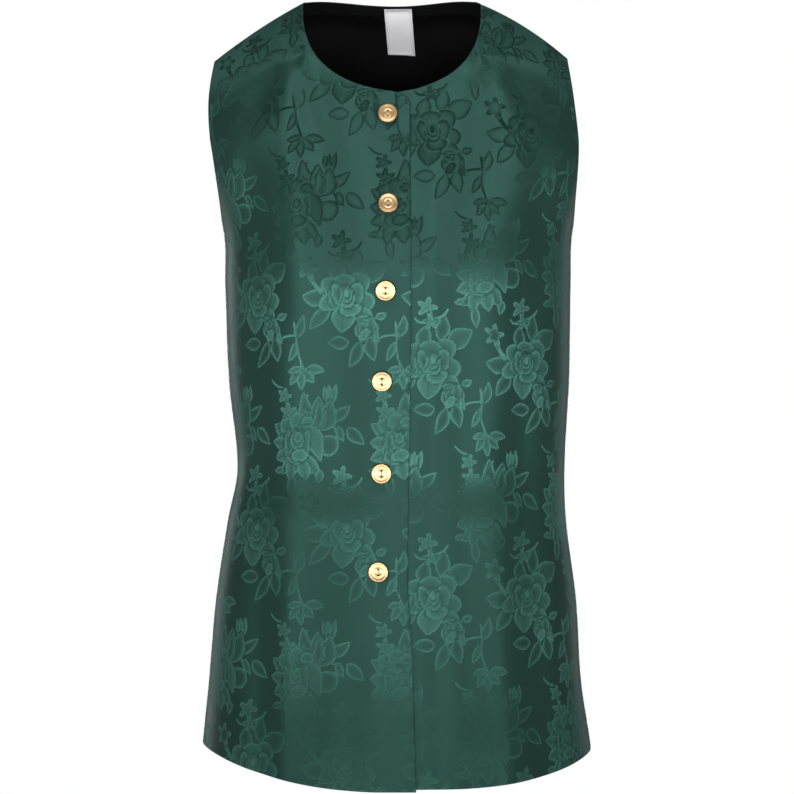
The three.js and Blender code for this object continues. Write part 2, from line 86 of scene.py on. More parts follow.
SECTIONS = columns("height half front back sway", [
    (0.010, 0.206, 0.082, 0.097, -0.003),
    (0.000, 0.206, 0.082, 0.097, -0.003),
    (-0.097, 0.206, 0.096, 0.101, -0.004),
    (-0.160, 0.196, 0.112, 0.105, 0.001),
    (ARMPIT, 0.175, 0.126, 0.104, 0.003),
    (-0.285, 0.1725, 0.130, 0.099, 0.003),
    (-0.377, 0.170, 0.119, 0.092, 0.004),
    (-0.465, 0.1635, 0.109, 0.092, 0.006),
    (-0.517, 0.169, 0.112, 0.100, 0.002),
    (-0.597, 0.180, 0.1155, 0.115, 0.001),
    (-0.677, 0.186, 0.1215, 0.121, 0.000),
    (-0.738, 0.1935, 0.130, 0.122, 0.0015),
    (-0.790, 0.1985, 0.137, 0.125, 0.002),
])
ARMHOLE = columns("height across", [
    (-0.058, 0.178),
    (-0.097, 0.182),
    (-0.137, 0.1825),
    (-0.160, 0.1805),
    (-0.200, 0.1765),
    (ARMPIT, 0.175),
])
TOP_LAP = columns("height across", [
    (-0.100, 0.0145),
    (-0.330, 0.0155),
    (-0.470, 0.0135),
    (-0.580, 0.0128),
    (-0.650, 0.0170),
    (-0.725, 0.0192),
    (-0.790, 0.0210),
])
FOLD_FADE = 0.070
SHORT_FADE = 0.6  # a short fold fades over this share of its length
FRONT_FOLDS = columns("top_x top_z end_x end_z width depth", [
    (-0.141, -0.165, -0.129, -0.800, 0.017, 0.0055),
    (0.147, -0.205, 0.124, -0.430, 0.018, 0.0050),
    (0.124, -0.430, 0.152, -0.800, 0.019, 0.0055),
    (-0.104, -0.060, -0.098, -0.270, 0.017, -0.0030),
    (-0.082, -0.062, -0.062, -0.190, 0.015, 0.0032),
    (0.090, -0.062, 0.088, -0.128, 0.011, 0.0026),
    (0.160, -0.160, 0.112, -0.330, 0.020, 0.0026),
    (-0.075, -0.330, -0.060, -0.560, 0.026, 0.0024),
    (0.060, -0.420, 0.072, -0.800, 0.026, -0.0024),
])
# Slighter creases than the folds that the solids have: depth is inwards, and a negative one is a ridge.
FRONT_CREASES = columns("top_x top_z end_x end_z width depth", [
    (-0.108, -0.028, -0.086, -0.110, 0.009, 0.0022),
    (-0.092, -0.040, -0.070, -0.130, 0.008, -0.0014),
    (-0.128, -0.080, -0.150, -0.160, 0.011, 0.0012),
    (-0.168, -0.175, -0.120, -0.300, 0.013, 0.0014),
    (-0.160, -0.440, -0.110, -0.500, 0.014, 0.0012),
    (-0.100, -0.560, -0.118, -0.800, 0.014, -0.0012),
    (-0.040, -0.640, -0.046, -0.800, 0.016, 0.0009),
    (0.076, -0.048, 0.066, -0.120, 0.008, -0.0012),
    (0.118, -0.070, 0.138, -0.170, 0.012, 0.0012),
    (0.166, -0.440, 0.118, -0.510, 0.014, 0.0014),
    (0.098, -0.540, 0.112, -0.800, 0.013, -0.0013),
    (0.030, -0.600, 0.036, -0.800, 0.015, 0.0008),
])


def at(rows, column, height):
    """A smooth curve through a table's rows: the value of one column at a height."""
    z, v = rows["height"], rows[column]
    slope = np.empty_like(v)
    slope[1:-1] = (v[2:] - v[:-2]) / (z[2:] - z[:-2])
    slope[0] = (v[1] - v[0]) / (z[1] - z[0])
    slope[-1] = (v[-1] - v[-2]) / (z[-1] - z[-2])
    height = np.clip(height, z[0], z[-1])
    k = np.clip(np.searchsorted(z, height), 1, len(z) - 1)
    span = z[k] - z[k - 1]
    t = (height - z[k - 1]) / span
    rise = v[k] - v[k - 1]
    a, b = slope[k - 1] * span, slope[k] * span
    return v[k - 1] + t * (a + t * (3 * rise - 2 * a - b + t * (a + b - 2 * rise)))


def mix(a, b, share):
    return a + (b - a) * share


def smooth(x, low, high):
    """0 below low, 1 above high, and a soft step between them."""
    t = np.clip((x - low) / (high - low), 0, 1)
    return t * t * (3 - 2 * t)


def across_share(angle):
    """How far across a section reaches at an angle, as a share of its half width."""
    return np.sign(angle) * np.abs(np.sin(angle)) ** (2 / SECTION_ROUND)


def depth_share(angle):
    """How deep a section is at an angle, as a share of its full depth."""
    return np.clip(np.cos(angle), 0, None) ** (2 / SECTION_ROUND)


def angle_at(across, height):
    share = np.clip(np.abs(across) / at(SECTIONS, "half", height), 0, 1)
    return np.sign(across) * np.arcsin(share ** (SECTION_ROUND / 2))


def of_side(rows, side, name):
    """A named size of the side or sides given."""
    return np.where(np.asarray(side) < 0, rows[-1][name], rows[1][name])


def shoulder_line(side, across):
    """Height of the shoulder seam's line. Inwards of the neck end it carries on as a smooth arch."""
    neck, rise, slope, bend = (of_side(SHOULDERS, side, name) for name in ("neck", "rise", "slope", "bend"))
    past = across - neck
    inward = 1 - (across / neck) ** 2
    arch_top = rise + neck * slope / 2
    middle = sum(row["rise"] + row["neck"] * row["slope"] / 2 for row in SHOULDERS.values()) / 2
    arch = rise + neck * slope * inward / 2 + (middle - arch_top) * inward**2
    return np.where(past > 0, rise - slope * past - bend * past**2, arch)


def turned_down(side, across, height):
    """How far the cloth has turned down from the shoulder seam: 0 on the seam, 1 on the chest."""
    below = np.clip((shoulder_line(side, across) - height) / SHOULDER_ROLL, 0, 1)
    return (1 - (1 - below) ** 2) ** ROLL_POWER


def fold_depth(folds, x, z):
    """How far the folds of a table push the cloth inwards, in all."""
    depth = np.zeros(np.broadcast(x, z).shape)
    for top_x, top_z, end_x, end_z, width, deep in zip(*folds.values()):
        line = mix(top_x, end_x, (top_z - z) / (top_z - end_z))
        fade = min(FOLD_FADE, SHORT_FADE * (top_z - end_z))
        above_end = smooth(z, end_z - fade, end_z + fade / 2)
        below_top = 1 - smooth(z, top_z - fade / 2, top_z + fade / 2)
        depth += deep * (above_end * below_top) * np.exp(-(((x - line) / width) ** 2))
    return depth


def form_point(face, side, angle, height, creases=None):
    """Points of the waistcoat's outer surface, at an angle round from the centre line.

    face is -1 in front and 1 behind, and side is -1 or 1 for -X or +X.
    """
    half = at(SECTIONS, "half", height)
    deep = at(SECTIONS, "front" if face < 0 else "back", height)
    across = half * across_share(angle)
    x = side * across + at(SECTIONS, "sway", height) * (across / half) ** 2
    inward = fold_depth(FRONT_FOLDS if face < 0 else BACK_FOLDS, x, height)
    if creases is not None:
        inward = inward + fold_depth(creases, x, height)
    depth = (deep - inward) * depth_share(angle) * turned_down(side, across, height)
    y = SEAM_Y * smooth(height, ARMPIT, 0) + face * depth
    return np.stack([x, y, np.broadcast_to(height, x.shape)], axis=-1)


def neck_height(side, across):
    """Height of a front's neck edge at a distance from the centre line."""
    share = np.clip(across / SHOULDERS[side]["neck"], 0, 1)
    rounded = (1 - share**NECK_ROUND) ** (1 / NECK_ROUND)
    curve = -(NECK_DEPTH - NECK_POINT) * rounded - NECK_POINT * (1 - share) ** NECK_POINT_POWER
    curve = curve + SHOULDERS[side]["rise"] * share**NECK_RISE_POWER
    return np.where(across <= 0, -NECK_DEPTH + LAP_SLOPE * across, curve)


def armhole_across(side, height):
    """The armhole's edge. Near the shoulder it leans in or out to meet that side's tip."""
    tip = of_side(SHOULDERS, side, "tip")
    lean = smooth(height, ARMPIT + CHEST_RISE, shoulder_line(side, tip))
    return at(ARMHOLE, "across", height) + lean * (tip - ARMHOLE["across"][-1])


CLOSE_SHARES = np.array([0.00045, 0.0013])


def fine_shares(count, close):
    """Even steps from 0 to 1, with two more by each end that close names, where an edge is turned."""
    steps = np.linspace(0, 1, count + 1)
    by_start = CLOSE_SHARES if "start" in close else []
    by_end = 1 - CLOSE_SHARES if "end" in close else []
    return np.unique(np.concatenate([steps, by_start, by_end]))


# Steps of a front's grid: up to the armpit, round its curve, up the strap, and across.
LOWER_STEPS, CHEST_STEPS, STRAP_STEPS = 342, 52, 124
FRONT_STEPS = 168
CROWDING = 0.12  # how much closer the columns stand by the front edge than on average


def front_grid(side, lap_at):
    """A front as a fine grid: rows from the hem to the shoulder, columns from the front edge or neck out."""
    shoulder, hem = SHOULDERS[side], HEMS[side]
    top_lap = lap_at(-NECK_DEPTH)
    corner = neck_height(side, -top_lap) - CORNER_ROUND
    tip = shoulder_line(side, armhole_across(side, shoulder_line(side, shoulder["tip"])))
    chest_inner, strap_outer = ARMPIT + EDGE_CHEST_RISE, ARMPIT + CHEST_RISE

    t = fine_shares(LOWER_STEPS, "start")
    inner_z = [mix(hem["side"] - hem["front"], chest_inner, t)]
    outer_z = [mix(hem["side"], ARMPIT, t)]
    dip_round = mix(hem["round"], 1, t)
    t = np.linspace(0, 1, CHEST_STEPS + 1)[1:]
    inner_z.append(mix(chest_inner, corner, t))
    outer_z.append(mix(ARMPIT, strap_outer, t**CHEST_BUNCH))
    inner_x = [-lap_at(z) for z in inner_z]

    # The neck: its rows first round the corner, and then follow the neck edge to the shoulder.
    t = fine_shares(STRAP_STEPS - len(CLOSE_SHARES), "end")[1:]
    on_corner = t < CORNER_SHARE
    q = np.clip(t / CORNER_SHARE, 0, 1)
    past = np.clip((t - CORNER_SHARE) / (1 - CORNER_SHARE), 0, 1)
    start = -top_lap + CORNER_ROUND
    along_neck = mix(start, shoulder["neck"], np.sin(past * math.pi / 2) ** NECK_BUNCH)
    along = np.where(on_corner, -top_lap + CORNER_ROUND * q**2, along_neck)
    turn = (1 - q) ** 2 * corner
    turn = turn + 2 * q * (1 - q) * neck_height(side, -top_lap)
    turn = turn + q**2 * neck_height(side, start)
    inner_x.append(along)
    inner_z.append(np.where(on_corner, turn, neck_height(side, along)))
    outer_z.append(mix(strap_outer, tip, 1 - (1 - t) ** STRAP_BUNCH))
    inner_x, inner_z, outer_z = (np.concatenate(v)[:, None] for v in (inner_x, inner_z, outer_z))
    dip_round = np.concatenate([dip_round, np.ones(len(outer_z) - len(dip_round))])[:, None]

    begin = angle_at(inner_x, inner_z)
    at_side = math.pi / 2 - SEAM_GAP / 2 / at(SECTIONS, "front", outer_z)
    at_armhole = angle_at(armhole_across(side, outer_z), outer_z)
    end = np.where(outer_z <= ARMPIT, at_side, at_armhole)
    shares = fine_shares(FRONT_STEPS, "start end")
    shares = shares - CROWDING * np.sin(math.pi * shares) / math.pi
    angle = mix(begin, end, shares[None, :])
    by_square = (np.sin(angle) ** 2 - np.sin(begin) ** 2) / (np.sin(end) ** 2 - np.sin(begin) ** 2)
    by_line = (across_share(angle) - across_share(begin)) / (across_share(end) - across_share(begin))
    share = mix(by_square, by_line, smooth(outer_z, ARMPIT, ARMPIT + ARMHOLE_SPREAD))
    height = mix(inner_z, outer_z, np.clip(share, 0, 1) ** dip_round)

    # The strap's rows bow up more and more, and the last one lies on the shoulder seam's line.
    across = at(SECTIONS, "half", height) * across_share(angle)
    past_neck = np.clip(across - shoulder["neck"], 0, None)
    before_tip = np.clip(shoulder["tip"] - across, 0, None)
    bow = np.concatenate([np.zeros(len(height) - STRAP_STEPS), t])[:, None]
    height = height + bow * shoulder["bend"] * past_neck * before_tip
    height[-1] = shoulder_line(side, across[-1])
    angle[-STRAP_STEPS:] = angle_at(across[-STRAP_STEPS:], height[-STRAP_STEPS:])
    points = form_point(-1, side, angle, height, FRONT_CREASES)
    points[-1, :, 1] -= SEAM_GAP / 2
    return points, angle, height


def grid_normals(points, outward):
    """Normals of a grid of points, facing out of the form."""
    along = np.gradient(points, axis=1)
    up = np.gradient(points, axis=0)
    normals = np.cross(along, up)
    return outward * normals / np.linalg.norm(normals, axis=2, keepdims=True)


def square_at_seams(normals, on_seam):
    """At a sewn seam the two cloths meet face to face, so the wall stands square to the seam there."""
    normals[on_seam, 1] = 0
    normals[on_seam] /= np.linalg.norm(normals[on_seam], axis=1, keepdims=True)
    return normals


def distance_from_edges(points):
    """How far each point of a grid lies from the nearest of its four edges, measured along the cloth."""
    near = []
    for axis in (0, 1):
        steps = np.linalg.norm(np.diff(points, axis=axis), axis=2)
        run = np.cumsum(steps, axis=axis)
        run = np.insert(run, 0, 0, axis=axis)
        near += [run, np.take(run, [-1], axis=axis) - run]
    return np.minimum.reduce(near)


COARSE = 4  # the hidden inner face has one row and column for this many of the outer one


def shell_faces(rows, cols):
    """Faces of a closed cloth: the quads of its outer and its inner grid, and the rim's triangles."""
    outer = np.arange(rows * cols).reshape(rows, cols)
    inner_rows, inner_cols = (rows - 1) // COARSE + 1, (cols - 1) // COARSE + 1
    inner = rows * cols + np.arange(inner_rows * inner_cols).reshape(inner_rows, inner_cols)
    quads = [
        np.stack([g[:-1, :-1], g[:-1, 1:], g[1:, 1:], g[1:, :-1]], axis=-1).reshape(-1, 4)[:, ::way]
        for g, way in ((outer, 1), (inner, -1))]
    rim = []
    edges = [
        (outer[0], inner[0], 1),
        (outer[-1], inner[-1], -1),
        (outer[:, 0], inner[:, 0], -1),
        (outer[:, -1], inner[:, -1], 1),
    ]
    for fine, coarse, way in edges:
        for k in range(len(coarse) - 1):
            f, a, b = fine[COARSE * k:COARSE * k + COARSE + 1], coarse[k], coarse[k + 1]
            fan = [(a, f[1], f[0]), (a, f[2], f[1]), (a, b, f[2]), (b, f[3], f[2]), (b, f[4], f[3])]
            rim += [tri[::way] for tri in fan]
    return quads[0], quads[1], np.array(rim)


def new_mesh(name, points, faces, material_index):
    """An object from arrays: faces lists arrays of quads or triangles, with a material slot for each."""
    corners = np.concatenate([f.ravel() for f in faces])
    sizes = np.concatenate([np.full(len(f), f.shape[1]) for f in faces])
    mesh = bpy.data.meshes.new(name)
    mesh.vertices.add(len(points))
    mesh.vertices.foreach_set("co", np.ascontiguousarray(points, np.float32).ravel())
    mesh.loops.add(len(corners))
    mesh.loops.foreach_set("vertex_index", corners.astype(np.int32))
    mesh.polygons.add(len(sizes))
    starts = np.concatenate([[0], np.cumsum(sizes)[:-1]])
    mesh.polygons.foreach_set("loop_start", starts.astype(np.int32))
    slots = np.concatenate([np.full(len(f), m) for f, m in zip(faces, material_index)])
    mesh.polygons.foreach_set("material_index", slots.astype(np.int32))
    mesh.update(calc_edges=True)
    mesh.shade_smooth()
    piece = bpy.data.objects.new(name, mesh)
    bpy.context.scene.collection.objects.link(piece)
    return piece


def lay_coordinates(mesh, coordinates):
    """The cloth's own flat coordinates in metres, as a UV map: u across the weft, v up the warp."""
    layer = mesh.uv_layers.new(name="cloth")
    at_corner = np.empty(len(mesh.loops), np.int32)
    mesh.loops.foreach_get("vertex_index", at_corner)
    layer.data.foreach_set("uv", coordinates[at_corner].astype(np.float32).ravel())


def over_shell(grid):
    """A grid's values for the outer points of a shell, and then for its inner ones."""
    inner = grid[::COARSE, ::COARSE]
    return np.concatenate([face.reshape(-1, *grid.shape[2:]) for face in (grid, inner)])


def give_values(mesh, title, values):
    """A value for each point of a mesh, which the mesh's material reads by its title."""
    mesh.attributes.new(title, "FLOAT", "POINT").data.foreach_set("value", values.astype(np.float32))


def cloth_shell(name, points, normals, cloth, flip, coordinates, woven=None):
    """A closed thin cloth from its outer grid. Slot 0 is the outer face and rim, and slot 1 the inner face.

    woven holds a grid of values for each attribute of the cloth.
    """
    rows, cols = points.shape[:2]
    near = np.minimum(distance_from_edges(points), EDGE_ROUND)
    sunk = EDGE_ROUND - np.sqrt(EDGE_ROUND**2 - (EDGE_ROUND - near) ** 2)
    outer = points - normals * sunk[..., None]
    inner = (points - normals * cloth)[::COARSE, ::COARSE]
    faces = [f[:, ::-1] if flip else f for f in shell_faces(rows, cols)]
    piece = new_mesh(name, np.concatenate([outer.reshape(-1, 3), inner.reshape(-1, 3)]), faces, (0, 1, 0))
    lay_coordinates(piece.data, over_shell(coordinates))
    for title, grid in (woven or {}).items():
        give_values(piece.data, title, over_shell(grid))
    return piece


MEASURE_STEPS = 16


def flat_coordinates(face, side, angle, height):
    """Where each point lies on the flat cloth: u is the way round from the centre line, v the way up."""
    steps = np.linspace(0, 1, MEASURE_STEPS + 1)
    round_it = np.stack([form_point(face, side, angle * s, height)[..., :2] for s in steps])
    across = np.linalg.norm(np.diff(round_it, axis=0), axis=-1).sum(axis=0)
    base = np.full_like(height, ARMPIT)
    climb = [np.maximum(mix(base, height, s), ARMPIT) for s in steps]
    up_it = np.stack([form_point(face, side, angle, z) for z in climb])
    climbed = np.linalg.norm(np.diff(up_it, axis=0), axis=-1).sum(axis=0)
    up_cloth = np.where(height > ARMPIT, ARMPIT + climbed, height)
    return np.stack([side * across * np.sign(angle), up_cloth], axis=-1)


# The brocade's flower figure: a repeat with a full rose, a second tall rose and small sprigs between them.
# It is drawn here in millimetres of flat cloth, each leaf and petal with a bright rim that fades inwards.
REPEAT = (99.0, 227.0)
LEAF_LEAN, LEAF_FULLNESS = 0.8, 0.85
PETALS, PETAL_POINT = 5, 1.4
STAR_SLANT = 0.7  # a star's outline runs slantwise, so it is nearer than it is straight outwards


def leaf(x, y, length, width, bend=0.0):
    """How far inside a pointed leaf a point lies. The leaf runs from the origin up y to its tip."""
    t = np.clip(y / length, 0, 1)
    half = width / 2 * np.sin(math.pi * t**LEAF_LEAN) ** LEAF_FULLNESS
    return np.minimum(half - np.abs(x - bend * 4 * t * (1 - t)), np.minimum(y, length - y))


def oval(x, y, length, width):
    """A petal or a bud, about its centre."""
    return (1 - np.hypot(x / (width / 2), y / (length / 2))) * min(length, width) / 2


def star(x, y, length, width):
    """A five-petalled flower: length is its width over all, and width the part between the petals."""
    turn = np.arctan2(x, y)
    reach = mix(width, length, np.abs(np.cos(PETALS / 2 * turn)) ** PETAL_POINT) / 2
    return (reach - np.hypot(x, y)) * STAR_SLANT


def stem(x, y, length, width, bend=0.0):
    """A thin line from the origin up y, bowed sideways by bend."""
    t = np.clip(y / length, 0, 1)
    return np.minimum(width / 2 - np.abs(x - bend * 4 * t * (1 - t)), np.minimum(y, length - y) + 0.5)


# Each figure is drawn over those before it. x and y are its root (a centre, for ovals and stars),
# turn is clockwise from straight up, in degrees, and rim and body are how bright its edge and middle are.
ROSE = [
    # shape, x, y, length, width, turn, bend, rim, body
    (leaf, 16, 20, 26, 22, 62, 0, 0.95, 0.30), (leaf, 7, 24, 25, 14, 10, 1, 1.00, 0.15),
    (leaf, -9, 17, 20, 15, 8, 0, 1.00, 0.18), (leaf, -21, 0, 24, 17, -84, -1, 1.00, 0.16),
    (leaf, -17, -12, 26, 15, -134, 1, 1.00, 0.20), (leaf, 23, -40, 23, 13, 168, 0, 0.90, 0.10),
    (leaf, 15, -42, 28, 13, -152, -2, 0.90, 0.08), (leaf, 4, -42, 22, 13, -98, 0, 0.90, 0.08),
    (stem, -24, 5, 21, 4.0, -36, 0, 1.00, 0.70), (star, -37, 29, 23, 8, 10, 0, 1.00, 0.55),
    (oval, -37, 29, 8, 7, 0, 0, 0.20, 0.10), (star, -5, 54, 22, 8, 18, 0, 1.00, 0.50),
    (star, -2, 40, 17, 6, -12, 0, 1.00, 0.50), (stem, 3, 44, 16, 2.2, 52, 2, 0.95, 0.85),
    (stem, -7, 39, 12, 2.2, -62, -2, 0.95, 0.85), (oval, 13, 14, 24, 21, 40, 0, 1.00, 0.45),
    (oval, 18, -3, 22, 19, 100, 0, 1.00, 0.42), (leaf, 9, -11, 22, 16, 128, 0, 1.00, 0.50),
    (oval, -14, 10, 22, 17, -48, 0, 1.00, 0.40), (oval, -16, -5, 24, 17, -112, 0, 1.00, 0.42),
    (leaf, -3, -9, 25, 23, 182, 0, 1.00, 0.55), (oval, 0, 15, 15, 22, 0, 0, 1.00, 0.35),
    (oval, 11, 4, 23, 14, 14, 0, 1.00, 0.35), (leaf, -13, -11, 24, 9, 4, -1, 1.00, 0.30),
    (oval, -8, 2, 22, 11, -12, 0, 1.00, 0.30), (oval, 4, -11, 12, 22, -14, 0, 1.00, 0.45),
    (oval, 1, 1, 21, 16, 4, 0, 1.00, 0.30), (oval, 1, 3, 15, 11, 10, 0, 1.00, 0.20),
    (oval, 1, 4, 8, 6, 0, 0, 1.00, 0.85), (leaf, 10, -19, 18, 8, 96, 2, 1.00, 0.55),
    (oval, 20, -31, 20, 23, 18, 0, 1.00, 0.25), (leaf, 12, -24, 20, 9, 146, -1, 1.00, 0.40),
    (leaf, 22, -20, 17, 10, 166, 0, 1.00, 0.35), (oval, 18, -36, 13, 9, 30, 0, 1.00, 0.60),
    (leaf, 28, -20, 12, 8, 70, 1, 1.00, 0.35), (leaf, 28, -32, 14, 6, 158, 1, 1.00, 0.60),
    (stem, 34, -39, 16, 2.2, 78, -1, 0.95, 0.85), (stem, 58, -72, 36, 2.2, -14, -3, 0.95, 0.85),
    (leaf, 49, -38, 24, 10, 18, 2, 1.00, 0.15), (leaf, 48, -42, 21, 8, 204, -1, 1.00, 0.20),
    (stem, 49, -37, 14, 2.4, -8, 0, 0.95, 0.85), (leaf, 58, -68, 20, 10, 100, 0, 1.00, 0.40),
    (leaf, 56, -70, 18, 9, 138, 0, 1.00, 0.35), (leaf, 54, -70, 20, 9, 176, 0, 1.00, 0.35),
    (leaf, 53, -69, 18, 9, 216, 0, 1.00, 0.40), (leaf, 54, -67, 15, 8, 256, 0, 1.00, 0.40),
]
TALL_ROSE = [
    (star, -15, 47, 17, 7, 14, 0, 0.90, 0.45), (star, -12, 32, 19, 7, 0, 0, 1.00, 0.50),
    (stem, -5, 30, 23, 2.2, 42, 3, 0.95, 0.85), (stem, -17, 55, 14, 2.2, -62, -2, 0.95, 0.85),
    (stem, 33, 24, 25, 2.2, 150, 2, 0.95, 0.85), (leaf, 32, 24, 25, 12, 59, 1, 1.00, 0.12),
    (leaf, 39, 18, 17, 8, 158, 1, 1.00, 0.12), (leaf, 48, 15, 24, 13, 132, 1, 1.00, 0.10),
    (oval, 31, -1, 21, 20, 0, 0, 1.00, 0.14), (leaf, 33, 38, 22, 7, 14, 1, 1.00, 0.60),
    (leaf, 32, 38, 19, 6, -16, -1, 1.00, 0.60), (leaf, 32, 37, 21, 7, -1, 0, 1.00, 0.70),
    (oval, 32, 38, 9, 6, 6, 0, 1.00, 0.60), (leaf, 12, 15, 36, 14, -10, -2, 1.00, 0.22),
    (leaf, 21, 13, 33, 18, 22, 3, 1.00, 0.25), (leaf, 18, 13, 33, 17, 6, 0, 1.00, 0.22),
    (leaf, 18, 15, 27, 10, 8, 1, 1.00, 0.15), (leaf, 13, 14, 22, 7, -20, -1, 1.00, 0.40),
    (leaf, -9, 9, 21, 14, -60, 0, 1.00, 0.50), (leaf, -12, 1, 17, 13, -86, 0, 1.00, 0.50),
    (leaf, -11, -8, 17, 13, -112, 0, 1.00, 0.48), (leaf, -8, -16, 18, 12, -138, 0, 1.00, 0.45),
    (oval, -13, 18, 15, 16, 20, 0, 1.00, 0.50), (oval, -2, 22, 17, 17, 0, 0, 1.00, 0.50),
    (oval, 9, 18, 16, 14, -20, 0, 1.00, 0.45), (leaf, 2, 17, 40, 19, 148, -5, 1.00, 0.50),
    (leaf, 5, -12, 24, 14, 138, 0, 1.00, 0.42), (leaf, -6, -15, 21, 14, 196, 0, 1.00, 0.45),
    (leaf, 3, -16, 20, 15, 170, 0, 1.00, 0.45), (oval, -2, -3, 35, 28, 4, 0, 1.00, 0.40),
    (oval, -2, 0, 27, 22, 10, 0, 1.00, 0.35), (leaf, 7, -14, 28, 9, 6, -1, 1.00, 0.30),
    (leaf, -10, -12, 27, 9, -4, 1, 1.00, 0.30), (oval, -1, 3, 19, 14, 0, 0, 1.00, 0.30),
    (oval, 0, 5, 11, 8, 0, 0, 1.00, 0.20), (oval, 1, -12, 12, 18, -10, 0, 1.00, 0.45),
    (leaf, -8, -31, 21, 10, 180, 0, 1.00, 0.12), (leaf, 22, -24, 14, 9, 196, 0, 0.95, 0.35),
    (leaf, -18, -24, 11, 7, -100, 0, 0.90, 0.35),
]
CLUSTERS = [(ROSE, 0.0, 0.0), (TALL_ROSE, 51.0, 86.0)]
RIM, RIM_FADE = 0.6, 1.7  # a rim's width, and how far it takes to fade inwards
VEIN, VEIN_DARK = 0.9, 0.35
SOFT_EDGE = 0.4
DARK_FROM, DARK_AT = -2.0, -0.3  # the dark line round a figure, over those before it
EDGE_REACH = 3.0
TONE_POWER = 1.3
OUTER_TONE, OUTER_FROM, OUTER_AT = 0.95, -0.2, 1.2  # the bright edge of all the figures together
WAVER = 0.9  # how far the outlines waver
WAVER_U, WAVER_V = (31.0, 9.0), (8.0, 37.0)  # how far the two wavers run across and up in a radian


def flower_figure(coordinates, origin):
    """The woven figure at each point: how far inside its outline in mm, and how bright, from 0 to 1."""
    u = (coordinates[..., 0] - origin[0]) * 1000
    v = (coordinates[..., 1] - origin[1]) * 1000
    aside = WAVER * np.sin(v / WAVER_U[1] + u / WAVER_U[0])
    up = WAVER * np.sin(u / WAVER_V[0] - v / WAVER_V[1])
    u, v = u + aside, v + up
    tone = np.zeros(u.shape)
    edge = np.full(u.shape, -EDGE_REACH)
    for cluster, cluster_u, cluster_v in CLUSTERS:
        for shape, x, y, length, width, turn, bend, rim, body in cluster:
            du = (u - (cluster_u + x) + REPEAT[0] / 2) % REPEAT[0] - REPEAT[0] / 2
            dv = (v - (cluster_v + y) + REPEAT[1] / 2) % REPEAT[1] - REPEAT[1] / 2
            here = np.hypot(du, dv) < max(length, width) + EDGE_REACH
            c, s = math.cos(math.radians(turn)), math.sin(math.radians(turn))
            px, py = c * du[here] - s * dv[here], s * du[here] + c * dv[here]
            bends = (bend,) if shape in (leaf, stem) else ()
            inside = shape(px, py, length, width, *bends)
            own = mix(body, rim, np.exp(-np.clip(inside - RIM, 0, None) / RIM_FADE))
            if shape is leaf:
                own = own * (1 - VEIN_DARK * np.exp(-((px / VEIN) ** 2)))
            under = tone[here] * (1 - smooth(inside, DARK_FROM, DARK_AT))
            tone[here] = mix(under, own, smooth(inside, -SOFT_EDGE, SOFT_EDGE))
            edge[here] = np.maximum(edge[here], np.clip(inside, -EDGE_REACH, EDGE_REACH))
    figure = mix(OUTER_TONE, tone**TONE_POWER, smooth(edge, OUTER_FROM, OUTER_AT))
    return {"edge": edge, "figure": figure}


right_points, right_angle, right_height = front_grid(-1, lambda z: at(TOP_LAP, "across", z))
on_front_seam = np.zeros(right_height.shape, bool)
on_front_seam[: LOWER_STEPS + 1 + len(CLOSE_SHARES), -1] = True
on_front_seam[-1, :] = True
right_normals = square_at_seams(grid_normals(right_points, -1), on_front_seam)
right_cloth = flat_coordinates(-1, -1, right_angle, right_height)
RIGHT_ROSE = (-0.0475, -0.2985)  # where the photograph shows the heart of a rose on this front
front_right = cloth_shell("right_front", right_points, right_normals, FRONT_CLOTH, True, right_cloth,
                          flower_figure(right_cloth, RIGHT_ROSE))


def node(tree, kind, inputs=(), **settings):
    """A shader node with its settings, and with inputs given as values or as the sockets that feed them."""
    made = tree.nodes.new(kind)
    for name, value in settings.items():
        setattr(made, name, value)
    for name, value in dict(inputs).items():
        if isinstance(value, bpy.types.NodeSocket):
            tree.links.new(value, made.inputs[name])
        else:
            made.inputs[name].default_value = value
    return made


def colour_between(tree, share, first, second):
    """A blend of two colours. The share and the colours are values, or sockets that feed them."""
    made = node(tree, "ShaderNodeMix", data_type="RGBA")
    for socket, value in zip((made.inputs[0], made.inputs[6], made.inputs[7]), (share, first, second)):
        if isinstance(value, bpy.types.NodeSocket):
            tree.links.new(value, socket)
        else:
            socket.default_value = value
    return made.outputs[2]


def cloth_material(name, roughness, specular):
    """A material with its node tree and its shader."""
    made = bpy.data.materials.new(name)
    made.use_nodes = True
    tree = made.node_tree
    shader = tree.nodes["Principled BSDF"]
    shader.inputs["Roughness"].default_value = roughness
    shader.inputs["Specular IOR Level"].default_value = specular
    return made, tree, shader


# Weave, for every cloth here: the lie of its threads, seen as fine streaks across it and as a faint grain.
THREADS_PER_METRE = 2500
weave = bpy.data.node_groups.new("weave", "ShaderNodeTree")
density = weave.interface.new_socket("Threads per metre", in_out="INPUT", socket_type="NodeSocketFloat")
density.default_value = THREADS_PER_METRE
weave.interface.new_socket("Streaks", in_out="OUTPUT", socket_type="NodeSocketFloat")
weave.interface.new_socket("Grain", in_out="OUTPUT", socket_type="NodeSocketFloat")
inside, outside = node(weave, "NodeGroupInput"), node(weave, "NodeGroupOutput")
on_cloth = node(weave, "ShaderNodeUVMap", uv_map="cloth").outputs[0]
threads = inside.outputs["Threads per metre"]
for result, stretch in (("Streaks", (0.03, 0.5, 1)), ("Grain", (0.5, 1, 1))):
    drawn = node(weave, "ShaderNodeMapping", {"Vector": on_cloth, "Scale": stretch}).outputs[0]
    speckle = node(weave, "ShaderNodeTexNoise", {"Vector": drawn, "Scale": threads, "Detail": 2.0})
    weave.links.new(speckle.outputs["Fac"], outside.inputs[result])


